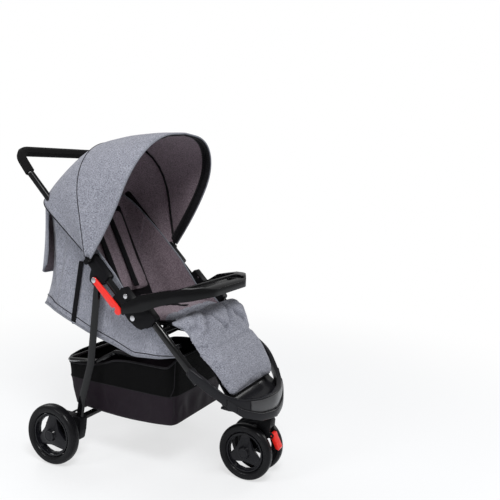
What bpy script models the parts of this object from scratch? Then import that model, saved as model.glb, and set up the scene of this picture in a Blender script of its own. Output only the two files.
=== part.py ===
"""Three-wheeled folding stroller, in metres.

The front faces -Y, +X is the child's left, and the floor is Z = 0.
Side views are written as (y, z) pairs, and widths are given along X.
"""
import math

import bmesh
import bpy
from mathutils import Matrix, Vector

# Clearances
GAP = 0.0003                    # between pieces that touch
SLOT_GAP = 0.0008               # each side of a piece that turns in a slot

# Side frames
SIDE_X = 0.205                  # centre plane of each side frame
TUBE_HALF_X = 0.009             # half width of every frame tube
FRONT_TUBE_R = 0.014            # half depth of the front tubes
UPPER_TUBE_R = 0.0125           # half depth of the handle tube
LEG_R = 0.013                   # half depth of the rear legs
BRACKET_HALF_X = 0.0145         # half width of the plastic joints on the tubes

# Fold pivot, and the straight lines of the two frames that meet there
FOLD = (-0.048, 0.507)
UPPER_SLOPE = math.radians(45.0)
FRONT_TOP = (-0.074, 0.541)
FRONT_SLOPE = math.radians(44.5)
FRONT_TUBE_LENGTH = 0.268

# Handle
HANDLE_REACH = 0.680            # fold pivot to the cross bar, along the tube
HANDLE_LIFT = 0.008             # rise of the cross bar above the tube's line
HANDLE_CORNER_R = 0.055
GRIP_R = 0.0165
GRIP_HALF_X = 0.0135
GRIP_GAP = 0.0009
GRIP_LEG = 0.085                # grip length on each side tube
HANDLE_STRAIGHT = 0.59          # where the tube's straight part ends
TUBE_START = 0.048              # fold pivot to the lower end of the handle tube

# Joints on the handle tube, as distances along it from the fold pivot
LEG_PIVOT_ALONG = 0.1725
LEG_PIVOT_DROP = 0.030
CANOPY_ALONG = 0.2240
SLEEVE_FROM, SLEEVE_TO = 0.036, 0.092
SLEEVE_LOW, SLEEVE_HIGH = -0.0165, 0.036

# Rear legs and axle
LEG_POINTS = [(0.124, 0.335), (0.160, 0.213), (0.180, 0.084)]
LEG_BEND_R = 0.120
LEG_ABOVE_PIVOT = 0.006
REAR_WHEEL_R = 0.098
REAR_WHEEL_X = 0.257
REAR_AXLE_Y = 0.234
REAR_TYRE_W = 0.036
REAR_RIM_R = 0.070
CROSS_TUBE = (0.192, 0.132)
CROSS_TUBE_R = 0.011
BRAKE_ROD = (0.234, 0.140)
BRAKE_ROD_R = 0.0035
REAR_BRACKET_X = (0.190, 0.2215)

# Front wheels and caster
FRONT_WHEEL_R = 0.089
FRONT_WHEEL_X = 0.040
FRONT_TYRE_W = 0.030
FRONT_RIM_R = 0.063
CASTER_Y = -0.400
CASTER_TRAIL = 0.052
FORK_HALF_X = 0.0185
STEM_R = 0.0065
STEM_Z = (0.155, 0.242)
LOCK_PIVOT = (-0.424, 0.147)
LOCK_PIN_R = 0.0025
LOCK_HALF_X = 0.012
FORK_POCKET_HALF_X = 0.0135

# Wheels in common
AXLE_R = 0.0055
HUB_R = 0.020
WHEEL_STEPS = 24

# Nose, which closes the front tubes and holds the caster.
# Each station gives x, y and the heights of the wall's two edges.
NOSE = [(0.2140, -0.246, 0.356, 0.386), (0.2120, -0.272, 0.340, 0.371),
        (0.2060, -0.297, 0.322, 0.356), (0.1950, -0.320, 0.304, 0.336),
        (0.1720, -0.348, 0.275, 0.308), (0.1350, -0.380, 0.240, 0.290),
        (0.0700, -0.410, 0.214, 0.280), (0.0, -0.425, 0.207, 0.280)]
NOSE_WALL = 0.012
NOSE_FLOOR_T = 0.006
NOSE_FLOOR_BACK = [(0.150, -0.318, 0.260), (0.150, -0.345, 0.258)]
SOCKET_FROM, SOCKET_TO = 0.237, 0.278
SOCKET_WALL = 0.003
LIP_T = 0.009                   # how far the lip stands out under the panel
LIP_HEIGHT = 0.024
LIP_FIRST, PANEL_FIRST = 4, 5   # the stations where the lip and the panel start
PANEL_T = 0.003
PANEL_SINK = 0.002
BOSS_R = 0.017
BOSS_Z = (0.203, 0.248)

# Fold pivot's pin, and the peg that the tray slides over
PIN_R = 0.005
PIN_HEAD_R = 0.0085
PIN_HEAD_T = 0.0011
RIVET_R = 0.004
RIVET_HEAD_R = 0.0075
RIVET_AT = (0.064, 0.026)       # along the handle tube and square off it
PEG_FROM, PEG_LENGTH = -0.022, 0.044
PEG_HALF = 0.006
PEG_DEPTH = 0.007
SLOT_BEHIND = 0.060             # how far the tray's slot runs on behind the peg

# Seat
SEAT_BAR_Y = -0.140
SEAT_BAR_R = 0.008
SEAT_HALF_X = 0.160
SEAT_FRONT = (-0.185, 0.4885)
SEAT_LENGTH = 0.3165
BOARD_T = 0.005
SEAT_TILT = math.radians(5.0)
BACK_PIVOT = (0.1344, 0.4615)
BACK_SLOPE = math.radians(64.0)
BACK_LENGTH = 0.385
BACK_HALF_T = 0.003
BACK_HALF_X = 0.160
CALF_TOP = (-0.196, 0.483)
CALF_FOOT = (-0.333, 0.283)
CALF_HALF_X = 0.138

# Pads: length along the board, half widths at the two ends, thickness
SEAT_PAD = {"from": 0.030, "length": 0.272, "half_x": (0.158, 0.154), "thick": 0.026}
BACK_PAD = {"from": 0.056, "length": 0.320, "half_x": (0.154, 0.150), "thick": 0.026}
CALF_PAD = {"from": 0.0, "length": 0.298, "half_x": (0.180, 0.154), "thick": 0.042,
            "rows": (0.0, 0.030, 0.043, 0.080, 0.124, 0.168, 0.234, 0.298)}
CALF_WRAP = 0.036               # how far the calf pad reaches back over the seat board
CALF_BEND_R = 0.012
CALF_EASE = (0.0016, 0.0013)    # extra clearance over the seat board and the calf board
PAD_CUTS = 6                    # rows of the pad's coarse cage
PAD_EDGE = 0.42                 # share of the thickness left at the rim
PAD_DRAW_IN = 0.035             # how far the sides are drawn in half way
SEAM_ROW = 4                    # the cage row where the calf pad's seam lies
SEAM_DEPTH = 0.40               # share of the thickness that the seam takes away
CHANNEL_ROW = 2                 # the cage row, from each side, of a pad's channel
CHANNEL_DEPTH = 0.22            # share of the thickness that a channel takes away

# Lower link between the front tubes and the rear legs, which rims the basket
LINK_PIVOT_Y = -0.185
LINK_X = 0.177
LINK_R = 0.007
LINK_POINTS = [(-0.120, 0.404), (-0.060, 0.387), (-0.010, 0.377), (0.048, 0.378),
               (0.064, 0.369), (0.122, 0.336), (0.246, 0.322)]
LINK_CORNER_R = 0.020
LINK_PIN = (0.122, 0.336)       # where it rests at the leg's upper bend
LINK_PIN_R = 0.005
LINK_PIN_GAP = 0.0008

# Canopy bows, as angles from +Y about the canopy pivot
BOW_R = 0.0035
BOW_EYE_R = 0.009
BOW_EYE_HALF = 0.0035
BOW_START = 0.0065
CANOPY_PIN_R = 0.004
FRONT_BOW = {"angle": math.radians(115.5), "x": 0.230, "height": 0.433, "corner": (0.190, 0.190)}
MID_BOW = {"angle": math.radians(81.0), "x": 0.239, "height": 0.363, "corner": (0.190, 0.190)}
REAR_EDGE = {"angle": math.radians(43.5), "x": 0.2165, "height": 0.302, "corner": (0.110, 0.070)}
BOW_ROUND = 0.95                # under 1 makes the corners squarer than an ellipse
TUBE_NOTCH = (0.300, 0.560)     # along the handle tube, where it is cut out of the cloth
TUBE_NOTCH_WALL = 0.0005
BOW_CROWN = 0.004
BOW_COUNT = 8
CLOTH_T = 0.002
CLOTH_LIFT = 0.0016             # clearance between the cloth and a bow
CLOTH_STEPS = 5
CLOTH_START = 0.040             # canopy pivot to the cloth's lower corner
CLOTH_DRAW_IN = 0.03            # how far the cloth sinks between two bows
BRIM = 0.004                    # how far the cloth runs ahead of the front bow
BRIM_BULGE = 0.020              # what it adds to that half way up

# Tray. The two edges of its side view run from the rear forwards.
TRAY_REAR = (-0.055, 0.5400)
TRAY_SLOPE = math.radians(19.3)
TRAY_TOP = [(-0.018, 0.548), (-0.049, 0.562), (-0.083, 0.584), (-0.162, 0.602),
            (-0.235, 0.607), (-0.266, 0.599)]
TRAY_UNDER = [(-0.266, 0.578), (-0.222, 0.571), (-0.185, 0.568), (-0.140, 0.554),
              (-0.095, 0.535), (-0.033, 0.521), (-0.018, 0.514)]
TRAY_EDGE_R = 0.007
TRAY_OUTER = [(0.2360, -0.010), (0.2360, -0.120), (0.2040, -0.206), (0.1000, -0.262)]
TRAY_INNER = [(0.2205, -0.010), (0.2205, -0.112), (0.1950, -0.150), (0.1800, -0.180)]
TRAY_OUTER_R, TRAY_INNER_R = 0.070, 0.020
POCKET = [(0.172, -0.190), (0.120, -0.238), (-0.120, -0.238), (-0.172, -0.190)]
POCKET_Z = 0.597
CUP = (0.105, -0.219)
CUP_R = 0.029
CUP_Z = 0.582
ABOVE_TRAY = 0.70

# Fold latch
LATCH_X = (0.2205, 0.2255)
LATCH_SLOPE = math.radians(222.3)

# Cloth tub and flap. The rear wall's stations give x, y, z of its foot and top.
TUB_X = 0.1875
TUB_BOTTOM = [(-0.205, 0.408), (-0.120, 0.389), (-0.028, 0.382), (0.048, 0.406),
              (0.148, 0.431), (0.250, 0.468), (0.300, 0.488)]
TUB_SIDE = (-0.205, -0.165, -0.120, -0.080, -0.048, 0.0, 0.060, 0.120, 0.180, 0.240, 0.280)
TUB_BELOW_TUBE = 0.015
TUB_CLIMB_Y = -0.080
TUB_REAR_FOOT = [(0.1800, 0.325, 0.498), (0.160, 0.358, 0.496), (0.120, 0.386, 0.490),
                 (0.060, 0.400, 0.486), (0.0, 0.404, 0.485)]
TUB_REAR_TOP = [(0.1862, 0.318, 0.853), (0.160, 0.334, 0.853), (0.120, 0.342, 0.853),
                (0.060, 0.347, 0.853), (0.0, 0.348, 0.853)]
TUB_FLARE = 2.2
TUB_ROWS = 4
FLAP_T = 0.004
FLAP_OFF = 0.0059               # the flap's middle to the rear wall's
FLAP_SHARES = (0.98, 0.75, 0.50, 0.30)  # its rows, as shares of the rear wall's height

# Harness, as heights over the thickness of the pads
HARNESS_LIFT = -0.0004
CROTCH_LIFT = 0.0007

# Webbing at the tub's sides
STRAP_T = 0.0012
STRAP_WIDE, STRAP_THIN = 0.024, 0.008
STRAP_TOP = (0.300, -0.020)     # along the handle tube and square off it
STRAP_FOOT = (0.232, 0.463)
STRAP_RIM = (0.238, 0.334)      # the left one runs on to the basket's rim

# Basket. Its rim and its floor are outlines in plan with a height at each corner.
BASKET_HALF_X = 0.1674
BASKET_RIM = [(0.0, -0.168, 0.386), (0.090, -0.168, 0.386), (0.148, -0.166, 0.384),
              (BASKET_HALF_X, -0.140, 0.352), (BASKET_HALF_X, -0.070, 0.352),
              (BASKET_HALF_X, 0.010, 0.352), (BASKET_HALF_X, 0.060, 0.346),
              (BASKET_HALF_X, 0.122, 0.322), (BASKET_HALF_X, 0.200, 0.312),
              (BASKET_HALF_X, 0.246, 0.311), (0.1520, 0.2575, 0.3245),
              (0.090, 0.2675, 0.329), (0.0, 0.272, 0.329)]
BASKET_MID = [(0.0, -0.160, 0.262), (0.090, -0.160, 0.262), (0.143, -0.158, 0.262),
              (0.163, -0.140, 0.261), (0.166, -0.070, 0.261), (0.166, 0.010, 0.261),
              (0.166, 0.060, 0.261), (0.166, 0.122, 0.261), (0.165, 0.195, 0.261),
              (0.161, 0.244, 0.261), (0.142, 0.262, 0.261), (0.085, 0.268, 0.261),
              (0.0, 0.269, 0.261)]
BASKET_FLOOR = [(0.0, -0.150, 0.166), (0.085, -0.150, 0.166), (0.125, -0.149, 0.165),
                (0.142, -0.138, 0.164), (0.145, -0.075, 0.159), (0.145, 0.005, 0.155),
                (0.145, 0.060, 0.155), (0.145, 0.120, 0.157), (0.144, 0.190, 0.161),
                (0.141, 0.235, 0.164), (0.127, 0.254, 0.166), (0.080, 0.260, 0.166),
                (0.0, 0.261, 0.166)]
BASKET_STEPS = 2                # rings between two of these outlines

COLLECTION = "stroller"


# Plain geometry

def clear_scene():
    for obj in list(bpy.data.objects):
        bpy.data.objects.remove(obj, do_unlink=True)
    collection = bpy.data.collections.new(COLLECTION)
    bpy.context.scene.collection.children.link(collection)
    return collection


def material(name, colour, roughness, metallic=0.0):
    found = bpy.data.materials.get(name)
    if found:
        return found
    made = bpy.data.materials.new(name)
    made.use_nodes = True
    shader = made.node_tree.nodes["Principled BSDF"]
    shader.inputs["Base Color"].default_value = (*colour, 1.0)
    shader.inputs["Roughness"].default_value = roughness
    shader.inputs["Metallic"].default_value = metallic
    return made


def black_tube():
    return material("black_tube", (0.012, 0.012, 0.013), 0.3, 0.4)


def black_plastic():
    return material("black_plastic", (0.014, 0.014, 0.015), 0.45)


def tyre_rubber():
    return material("tyre_rubber", (0.02, 0.02, 0.022), 0.5)


def red_plastic():
    return material("red_plastic", (0.8, 0.02, 0.015), 0.35)


def silver_plastic():
    return material("silver_plastic", (0.25, 0.26, 0.28), 0.4)


def bright_steel():
    return material("bright_steel", (0.7, 0.7, 0.72), 0.25, 1.0)


def foam():
    return material("foam", (0.01, 0.01, 0.01), 0.9)


def grey_cloth():
    return material("grey_cloth", (0.25, 0.26, 0.29), 0.9)


def lining_cloth():
    return material("lining_cloth", (0.09, 0.075, 0.085), 0.9)


def black_cloth():
    return material("black_cloth", (0.01, 0.01, 0.012), 0.85)


def add_object(name, mesh, look):
    obj = bpy.data.objects.new(name, mesh)
    bpy.data.collections[COLLECTION].objects.link(obj)
    if look:
        mesh.materials.clear()
        mesh.materials.append(look)
    return obj


def finish_mesh(mesh, weld=0.00001):
    shape = bmesh.new()
    shape.from_mesh(mesh)
    bmesh.ops.remove_doubles(shape, verts=shape.verts, dist=weld)
    bmesh.ops.recalc_face_normals(shape, faces=shape.faces)
    shape.to_mesh(mesh)
    shape.free()


def baked(obj, look=None):
    """The object as the viewport shows it, as one plain mesh in world space."""
    bpy.context.view_layer.update()
    depsgraph = bpy.context.evaluated_depsgraph_get()
    mesh = bpy.data.meshes.new_from_object(obj.evaluated_get(depsgraph))
    mesh.transform(obj.matrix_world)
    finish_mesh(mesh)
    name = obj.name
    bpy.data.objects.remove(obj, do_unlink=True)
    return add_object(name, mesh, look)


def boolean(obj, other, operation):
    """Joins or cuts obj with other, which is used up."""
    step = obj.modifiers.new(operation.lower(), "BOOLEAN")
    step.operation = operation
    step.solver = "EXACT"
    step.object = other
    look = obj.data.materials[0] if obj.data.materials else None
    made = baked(obj, look)
    bpy.data.objects.remove(other, do_unlink=True)
    return made


def cut(obj, *cutters):
    for cutter in cutters:
        obj = boolean(obj, cutter, "DIFFERENCE")
    return obj


def join(obj, *others):
    for other in others:
        obj = boolean(obj, other, "UNION")
    return obj


def fillet(points, radius, steps=5, closed=False):
    """The same corners, each rounded by an arc of the given radius."""
    points = [Vector(p) for p in points]
    count = len(points)
    rounded = []
    for i, corner in enumerate(points):
        if not closed and i in (0, count - 1):
            rounded.append(corner)
            continue
        back = points[i - 1] - corner
        ahead = points[(i + 1) % count] - corner
        half = back.angle(ahead) / 2
        if half > math.radians(89.0):
            rounded.append(corner)
            continue
        reach = min(radius / math.tan(half), 0.45 * back.length, 0.45 * ahead.length)
        back.normalize()
        ahead.normalize()
        actual = reach * math.tan(half)
        centre = corner + (back + ahead).normalized() * actual / math.sin(half)
        start = corner + back * reach - centre
        end = corner + ahead * reach - centre
        for k in range(steps + 1):
            turn = start.lerp(end, k / steps)
            sweep = math.pi - 2 * half
            a = math.sin((1 - k / steps) * sweep) / math.sin(sweep)
            b = math.sin(k / steps * sweep) / math.sin(sweep)
            turn = start * a + end * b
            rounded.append(centre + turn)
    return rounded


def curve_object(name, points, cyclic, dimensions):
    curve = bpy.data.curves.new(name, "CURVE")
    curve.dimensions = dimensions
    spline = curve.splines.new("POLY")
    spline.points.add(len(points) - 1)
    for slot, point in zip(spline.points, points):
        slot.co = (*point, 1.0)
    spline.use_cyclic_u = cyclic
    obj = bpy.data.objects.new(name, curve)
    bpy.data.collections[COLLECTION].objects.link(obj)
    return obj


def tube(name, points, radius, look, flat=1.0, x=0.0, sides=2):
    """A tube along 3-D points. flat narrows its section along X."""
    points = [(p[0] / flat, p[1], p[2]) for p in points]
    obj = curve_object(name, points, False, "3D")
    obj.data.bevel_depth = radius
    obj.data.bevel_resolution = sides
    obj.data.use_fill_caps = True
    obj.scale.x = flat
    obj.location.x = x
    return baked(obj, look)


def side_tube(name, x, yz, radius, half_x, look, sides=2):
    """A flattened tube that lies in the plane at x."""
    points = [(0.0, y, z) for y, z in yz]
    return tube(name, points, radius, look, flat=half_x / radius, x=x, sides=sides)


def plate(name, yz, x_from, x_to, look):
    """A side outline as a slab between two X planes."""
    obj = curve_object(name, [(y, z, 0.0) for y, z in yz], True, "2D")
    obj.data.fill_mode = "BOTH"
    obj.data.extrude = abs(x_to - x_from) / 2
    turn = Matrix(((0, 0, 1, 0), (1, 0, 0, 0), (0, 1, 0, 0), (0, 0, 0, 1)))
    obj.matrix_world = Matrix.Translation(((x_from + x_to) / 2, 0, 0)) @ turn
    return baked(obj, look)


def soften(obj, width, segments=1):
    step = obj.modifiers.new("edges", "BEVEL")
    step.width = width
    step.segments = segments
    step.limit_method = "ANGLE"
    step.angle_limit = math.radians(40.0)
    return obj


def rod(name, start, end, radius, look, sides=16):
    """A straight round bar between two points."""
    start, end = Vector(start), Vector(end)
    shape = bmesh.new()
    bmesh.ops.create_cone(shape, cap_ends=True, segments=sides, radius1=radius,
                          radius2=radius, depth=(end - start).length)
    aim = (end - start).to_track_quat("Z", "Y").to_matrix().to_4x4()
    shape.transform(Matrix.Translation((start + end) / 2) @ aim)
    mesh = bpy.data.meshes.new(name)
    shape.to_mesh(mesh)
    shape.free()
    return add_object(name, mesh, look)


def cross_rod(name, yz, x_from, x_to, radius, look=None, sides=16):
    return rod(name, (x_from, *yz), (x_to, *yz), radius, look, sides)


def turned(name, profile, x, yz, look, outward=1.0, closed=True):
    """A profile of (radius, across) pairs turned about an axis along X."""
    mesh = bpy.data.meshes.new(name)
    verts = [(radius, 0.0, across) for radius, across in profile]
    edges = [(i, i + 1) for i in range(len(verts) - 1)]
    if closed:
        edges.append((len(verts) - 1, 0))
    mesh.from_pydata(verts, edges, [])
    obj = add_object(name, mesh, None)
    screw = obj.modifiers.new("turn", "SCREW")
    screw.steps = WHEEL_STEPS
    screw.render_steps = WHEEL_STEPS
    screw.use_merge_vertices = True
    screw.merge_threshold = 0.00001
    half_step = math.pi / WHEEL_STEPS
    spin = Matrix.Rotation(half_step, 4, "X")
    aim = Matrix(((0, 0, outward, 0), (0, 1, 0, 0), (-outward, 0, 0, 0), (0, 0, 0, 1)))
    obj.matrix_world = Matrix.Translation((x, *yz)) @ spin @ aim
    return baked(obj, look)


def sheet_object(name, rows, thickness, look):
    """A cloth surface through rows of points, thickened to a closed solid."""
    width = len(rows[0])
    verts = [tuple(p) for row in rows for p in row]
    faces = [(r * width + c, r * width + c + 1, (r + 1) * width + c + 1, (r + 1) * width + c)
             for r in range(len(rows) - 1) for c in range(width - 1)]
    mesh = bpy.data.meshes.new(name)
    mesh.from_pydata(verts, [], faces)
    obj = add_object(name, mesh, None)
    solid = obj.modifiers.new("thickness", "SOLIDIFY")
    solid.thickness = thickness
    solid.offset = 0.0
    solid.use_even_offset = True
    return baked(obj, look)


def along(start, slope, distance, offset=0.0):
    """A side point at a distance along a sloping line and square off it."""
    y = start[0] + distance * math.cos(slope) - offset * math.sin(slope)
    z = start[1] + distance * math.sin(slope) + offset * math.cos(slope)
    return (y, z)


def upper(distance, offset=0.0):
    return along(FOLD, UPPER_SLOPE, distance, offset)


def front(distance, offset=0.0):
    """A side point down the front tube from its top end."""
    return along(FRONT_TOP, FRONT_SLOPE, -distance, offset)


LEG_PIVOT = upper(LEG_PIVOT_ALONG, -LEG_PIVOT_DROP)
CANOPY_PIVOT = upper(CANOPY_ALONG, 0.0)
SLEEVE_RIVET = upper(*RIVET_AT)


def front_axis_z(y):
    return FRONT_TOP[1] + (y - FRONT_TOP[0]) * math.tan(FRONT_SLOPE)


def empty(name, location, parent=None):
    obj = bpy.data.objects.new(name, None)
    obj.empty_display_size = 0.03
    bpy.data.collections[COLLECTION].objects.link(obj)
    obj.location = location
    bpy.context.view_layer.update()
    if parent:
        attach(obj, parent)
    return obj


def attach(obj, parent):
    bpy.context.view_layer.update()
    world = obj.matrix_world.copy()
    obj.parent = parent
    obj.matrix_parent_inverse = parent.matrix_world.inverted()
    obj.matrix_world = world


SIDES = (("right", -1), ("left", 1))


# Front frame

def front_tubes():
    made = []
    for side, sign in SIDES:
        ends = [front(-0.010), front(FRONT_TUBE_LENGTH)]
        made.append(side_tube("front_tube_" + side, sign * SIDE_X, ends, FRONT_TUBE_R,
                              TUBE_HALF_X, black_tube()))
    return made


def front_tube_clearance(name, sign, start, end, wall=0.0):
    return side_tube(name, sign * SIDE_X, [front(start), front(end)],
                     FRONT_TUBE_R + GAP + wall, TUBE_HALF_X + GAP + wall, None)


def seat_bar():
    reach = SIDE_X - TUBE_HALF_X - GAP
    yz = (SEAT_BAR_Y, front_axis_z(SEAT_BAR_Y))
    return [cross_rod("seat_bar", yz, -reach, reach, SEAT_BAR_R, black_tube())]


def hinge_housings():
    """Cheeks round the fold pivot, with a slot for the tongue that turns there."""
    outline = [upper(0.0352, -0.004), upper(0.030, -0.015), upper(0.004, -0.017),
               upper(-0.030, -0.009), upper(-0.045, 0.000), upper(-0.047, 0.012),
               front(0.062, -0.020), front(0.062, 0.019), front(-0.020, 0.020),
               upper(0.0352, 0.036)]
    slot = [upper(-0.012, 0.0155), upper(0.060, 0.0155), upper(0.060, -0.050),
            upper(-0.045, -0.050), upper(-0.045, -0.020), upper(-0.024, -0.020),
            upper(-0.0175, 0.004)]
    tongue_half = 0.005 + SLOT_GAP
    made = []
    for side, sign in SIDES:
        inner = sign * (SIDE_X - BRACKET_HALF_X)
        outer = sign * (SIDE_X + BRACKET_HALF_X)
        body = plate("hinge_housing_" + side, fillet(outline, 0.008, 2, True), inner, outer,
                     black_plastic())
        opening = plate("slot", slot, sign * SIDE_X - tongue_half,
                        sign * SIDE_X + tongue_half, None)
        bore = front_tube_clearance("bore", sign, -0.010 - GAP, 0.100)
        pin = cross_rod("pin_hole", FOLD, inner - sign * 0.01, outer + sign * 0.01,
                        PIN_R + GAP)
        body = cut(body, opening, bore, pin)
        peg = tray_peg(sign, 0.0)
        made.append(join(body, peg))
    return made


def tray_peg(sign, clearance, behind=0.0):
    """The peg on a housing's outer face that the tray's arm slides over."""
    low, high = -PEG_HALF - clearance, PEG_HALF + clearance
    start = PEG_FROM - clearance - behind
    end = PEG_FROM + PEG_LENGTH + clearance
    outline = [tray(start, low), tray(end, low), tray(end, high), tray(start, high)]
    face = SIDE_X + BRACKET_HALF_X
    return plate("peg", outline, sign * (face - 0.003), sign * (face + PEG_DEPTH + clearance),
                 None)


def fold_pins():
    made = []
    for side, sign in SIDES:
        inner = SIDE_X - BRACKET_HALF_X - GAP
        outer = SIDE_X + BRACKET_HALF_X + GAP
        pin = cross_rod("fold_pin_" + side, FOLD, sign * inner, sign * outer, PIN_R,
                        bright_steel())
        heads = [cross_rod("head", FOLD, sign * (inner - PIN_HEAD_T), sign * (inner + 0.0001),
                           PIN_HEAD_R),
                 cross_rod("head", FOLD, sign * (outer - 0.0001), sign * (outer + PIN_HEAD_T),
                           PIN_HEAD_R)]
        made.append(join(pin, *heads))
    return made


def nose_rows(offset, first, heights):
    """Two rows of points round the nose, off its outer face, from a station onwards."""
    half = NOSE[first:]
    stations = half + [(-x, y, low, high) for x, y, low, high in reversed(half[:-1])]
    plan = [Vector(station[:2]) for station in stations]
    rows = [[], []]
    for i, p in enumerate(plan):
        before = (p - plan[i - 1]).normalized() if i else None
        after = (plan[i + 1] - p).normalized() if i + 1 < len(plan) else before
        before = before or after
        tangent = (before + after).normalized()
        outward = Vector((-tangent.y, tangent.x))
        q = p + outward * offset / tangent.dot(after)
        for row, z in zip(rows, heights(*stations[i][2:])):
            row.append((q.x, q.y, z))
    return rows


def nose():
    """A curved beam between the front tubes, with a floor and the caster's boss."""
    wall = sheet_object("nose", nose_rows(-NOSE_WALL / 2, 0, lambda low, high: (low, high)),
                        NOSE_WALL, black_plastic())
    lip = sheet_object("lip", nose_rows(LIP_T / 2 - GAP, LIP_FIRST,
                                        lambda low, high: (low, low + LIP_HEIGHT)), LIP_T, None)
    floor_rows = [[(sign * x, y, z) for x, y, z in NOSE_FLOOR_BACK]
                  + [(sign * (x - NOSE_WALL * 0.6), y + NOSE_WALL * 0.3, low + NOSE_WALL)
                     for x, y, low, high in NOSE[PANEL_FIRST:-1]] for sign in (-1, 1)]
    tip_y = NOSE[-1][1] + NOSE_WALL / 2
    for row, sign in zip(floor_rows, (-1, 1)):
        row.append((sign * NOSE_WALL, tip_y, NOSE[-1][2] + NOSE_WALL))
    floor = sheet_object("floor", floor_rows, NOSE_FLOOR_T, None)
    boss = rod("boss", (0, CASTER_Y, BOSS_Z[0]), (0, CASTER_Y, BOSS_Z[1]), BOSS_R, None, 24)
    sockets = [front_tube_clearance("socket", sign, SOCKET_FROM, SOCKET_TO, SOCKET_WALL)
               for sign in (-1, 1)]
    body = join(wall, lip, floor, boss, *sockets)
    bores = [front_tube_clearance("bore", sign, SOCKET_FROM - 0.04, FRONT_TUBE_LENGTH + GAP)
             for sign in (-1, 1)]
    stem_hole = rod("stem_hole", (0, CASTER_Y, BOSS_Z[0] - 0.02), (0, CASTER_Y, STEM_Z[1] + GAP),
                    STEM_R + GAP, None)
    return [cut(body, *bores, stem_hole)]


def nose_panel():
    rows = nose_rows(PANEL_T / 2 + GAP, PANEL_FIRST,
                     lambda low, high: (low + LIP_HEIGHT + GAP, high - PANEL_SINK))
    return [sheet_object("nose_panel", rows, PANEL_T, silver_plastic())]


# Caster and wheels

def wheel(prefix, side, sign, x, axle_yz, radius, rim_r, width):
    """A tyre and a three-spoked rim with a closed cap on its outer face."""
    depth = radius - rim_r
    half = width / 2
    tyre = [(rim_r, -half * 0.8), (rim_r + depth * 0.5, -half), (radius, -half * 0.45),
            (radius, half * 0.45), (rim_r + depth * 0.5, half), (rim_r, half * 0.8)]
    rubber = turned(prefix + "_tyre_" + side, tyre, x, axle_yz, tyre_rubber(), sign)
    outer = rim_r - GAP
    inner = rim_r - 0.0055
    bore = AXLE_R + GAP
    rim = [(0.0, half * 0.60), (bore, half * 0.60), (bore, -half), (HUB_R * 0.8, -half),
           (HUB_R, -half * 0.3), (inner, -half * 0.3), (inner, -half * 0.7), (outer, -half * 0.7),
           (outer, half * 0.7), (inner, half * 0.7), (inner, half * 0.2), (HUB_R, half * 0.55),
           (HUB_R * 0.85, half * 0.95), (0.0, half)]
    spokes = turned(prefix + "_rim_" + side, rim, x, axle_yz, black_plastic(), sign, False)
    windows = [wheel_window(x, axle_yz, inner, math.radians(30 + 120 * k)) for k in range(3)]
    return [rubber, cut(spokes, *windows)]


def wheel_window(x, yz, rim_inner, middle):
    """A crescent opening between two spokes."""
    spread = math.radians(45.0)
    far, near = rim_inner * 0.93, rim_inner * 0.53
    steps = 4
    outer = [(middle - spread + 2 * spread * k / steps, far) for k in range(steps + 1)]
    inner = [(middle + spread * 0.72 - 2 * spread * 0.72 * k / steps,
              near + (far - near) * 0.45 * (2 * k / steps - 1) ** 2) for k in range(steps + 1)]
    outline = [(yz[0] + r * math.cos(a), yz[1] + r * math.sin(a)) for a, r in outer + inner]
    return plate("window", outline, x - 0.03, x + 0.03, None)


def front_axle_yz():
    return (CASTER_Y + CASTER_TRAIL, FRONT_WHEEL_R)


def caster_fork():
    axle_y, axle_z = front_axle_yz()
    outline = [(CASTER_Y - 0.021, 0.200), (CASTER_Y + 0.021, 0.200), (CASTER_Y + 0.028, 0.150),
               (axle_y + 0.016, axle_z + 0.022), (axle_y + 0.020, axle_z - 0.002),
               (axle_y + 0.008, axle_z - 0.018), (axle_y - 0.012, axle_z - 0.016),
               (CASTER_Y + 0.016, 0.112), (CASTER_Y - 0.016, 0.140)]
    body = plate("caster_fork", fillet(outline, 0.012, 2, True), -FORK_HALF_X, FORK_HALF_X,
                 black_plastic())
    ears = []
    for sign in (-1, 1):
        ear = [(CASTER_Y - 0.010, 0.160), (LOCK_PIVOT[0] - 0.004, 0.1535),
               (LOCK_PIVOT[0] - 0.007, LOCK_PIVOT[1]), (LOCK_PIVOT[0] - 0.003, 0.1405),
               (CASTER_Y - 0.010, 0.138)]
        ears.append(plate("ear", ear, sign * (FORK_POCKET_HALF_X - 0.001), sign * FORK_HALF_X * 0.98,
                          None))
    body = join(body, *ears)
    axle_hole = cross_rod("axle_hole", (axle_y, axle_z), -0.03, 0.03, AXLE_R + GAP)
    stem_hole = rod("stem_hole", (0, CASTER_Y, STEM_Z[0]), (0, CASTER_Y, 0.22), STEM_R + GAP, None)
    pin_hole = cross_rod("pin_hole", LOCK_PIVOT, -0.03, 0.03, LOCK_PIN_R + GAP, None, 12)
    relief = plate("relief", [(LOCK_PIVOT[0] - 0.02, 0.170), (CASTER_Y - 0.0135, 0.170),
                              (CASTER_Y - 0.0135, 0.100), (LOCK_PIVOT[0] - 0.02, 0.100)],
                   -FORK_POCKET_HALF_X, FORK_POCKET_HALF_X, None)
    return [cut(body, axle_hole, stem_hole, pin_hole, relief)]


def caster_stem():
    return [rod("caster_stem", (0, CASTER_Y, STEM_Z[0] + GAP), (0, CASTER_Y, STEM_Z[1]), STEM_R,
                bright_steel())]


def front_axle():
    reach = FRONT_WHEEL_X + FRONT_TYRE_W / 2 * 0.60 - GAP
    return [cross_rod("front_axle", front_axle_yz(), -reach, reach, AXLE_R, bright_steel())]


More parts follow.
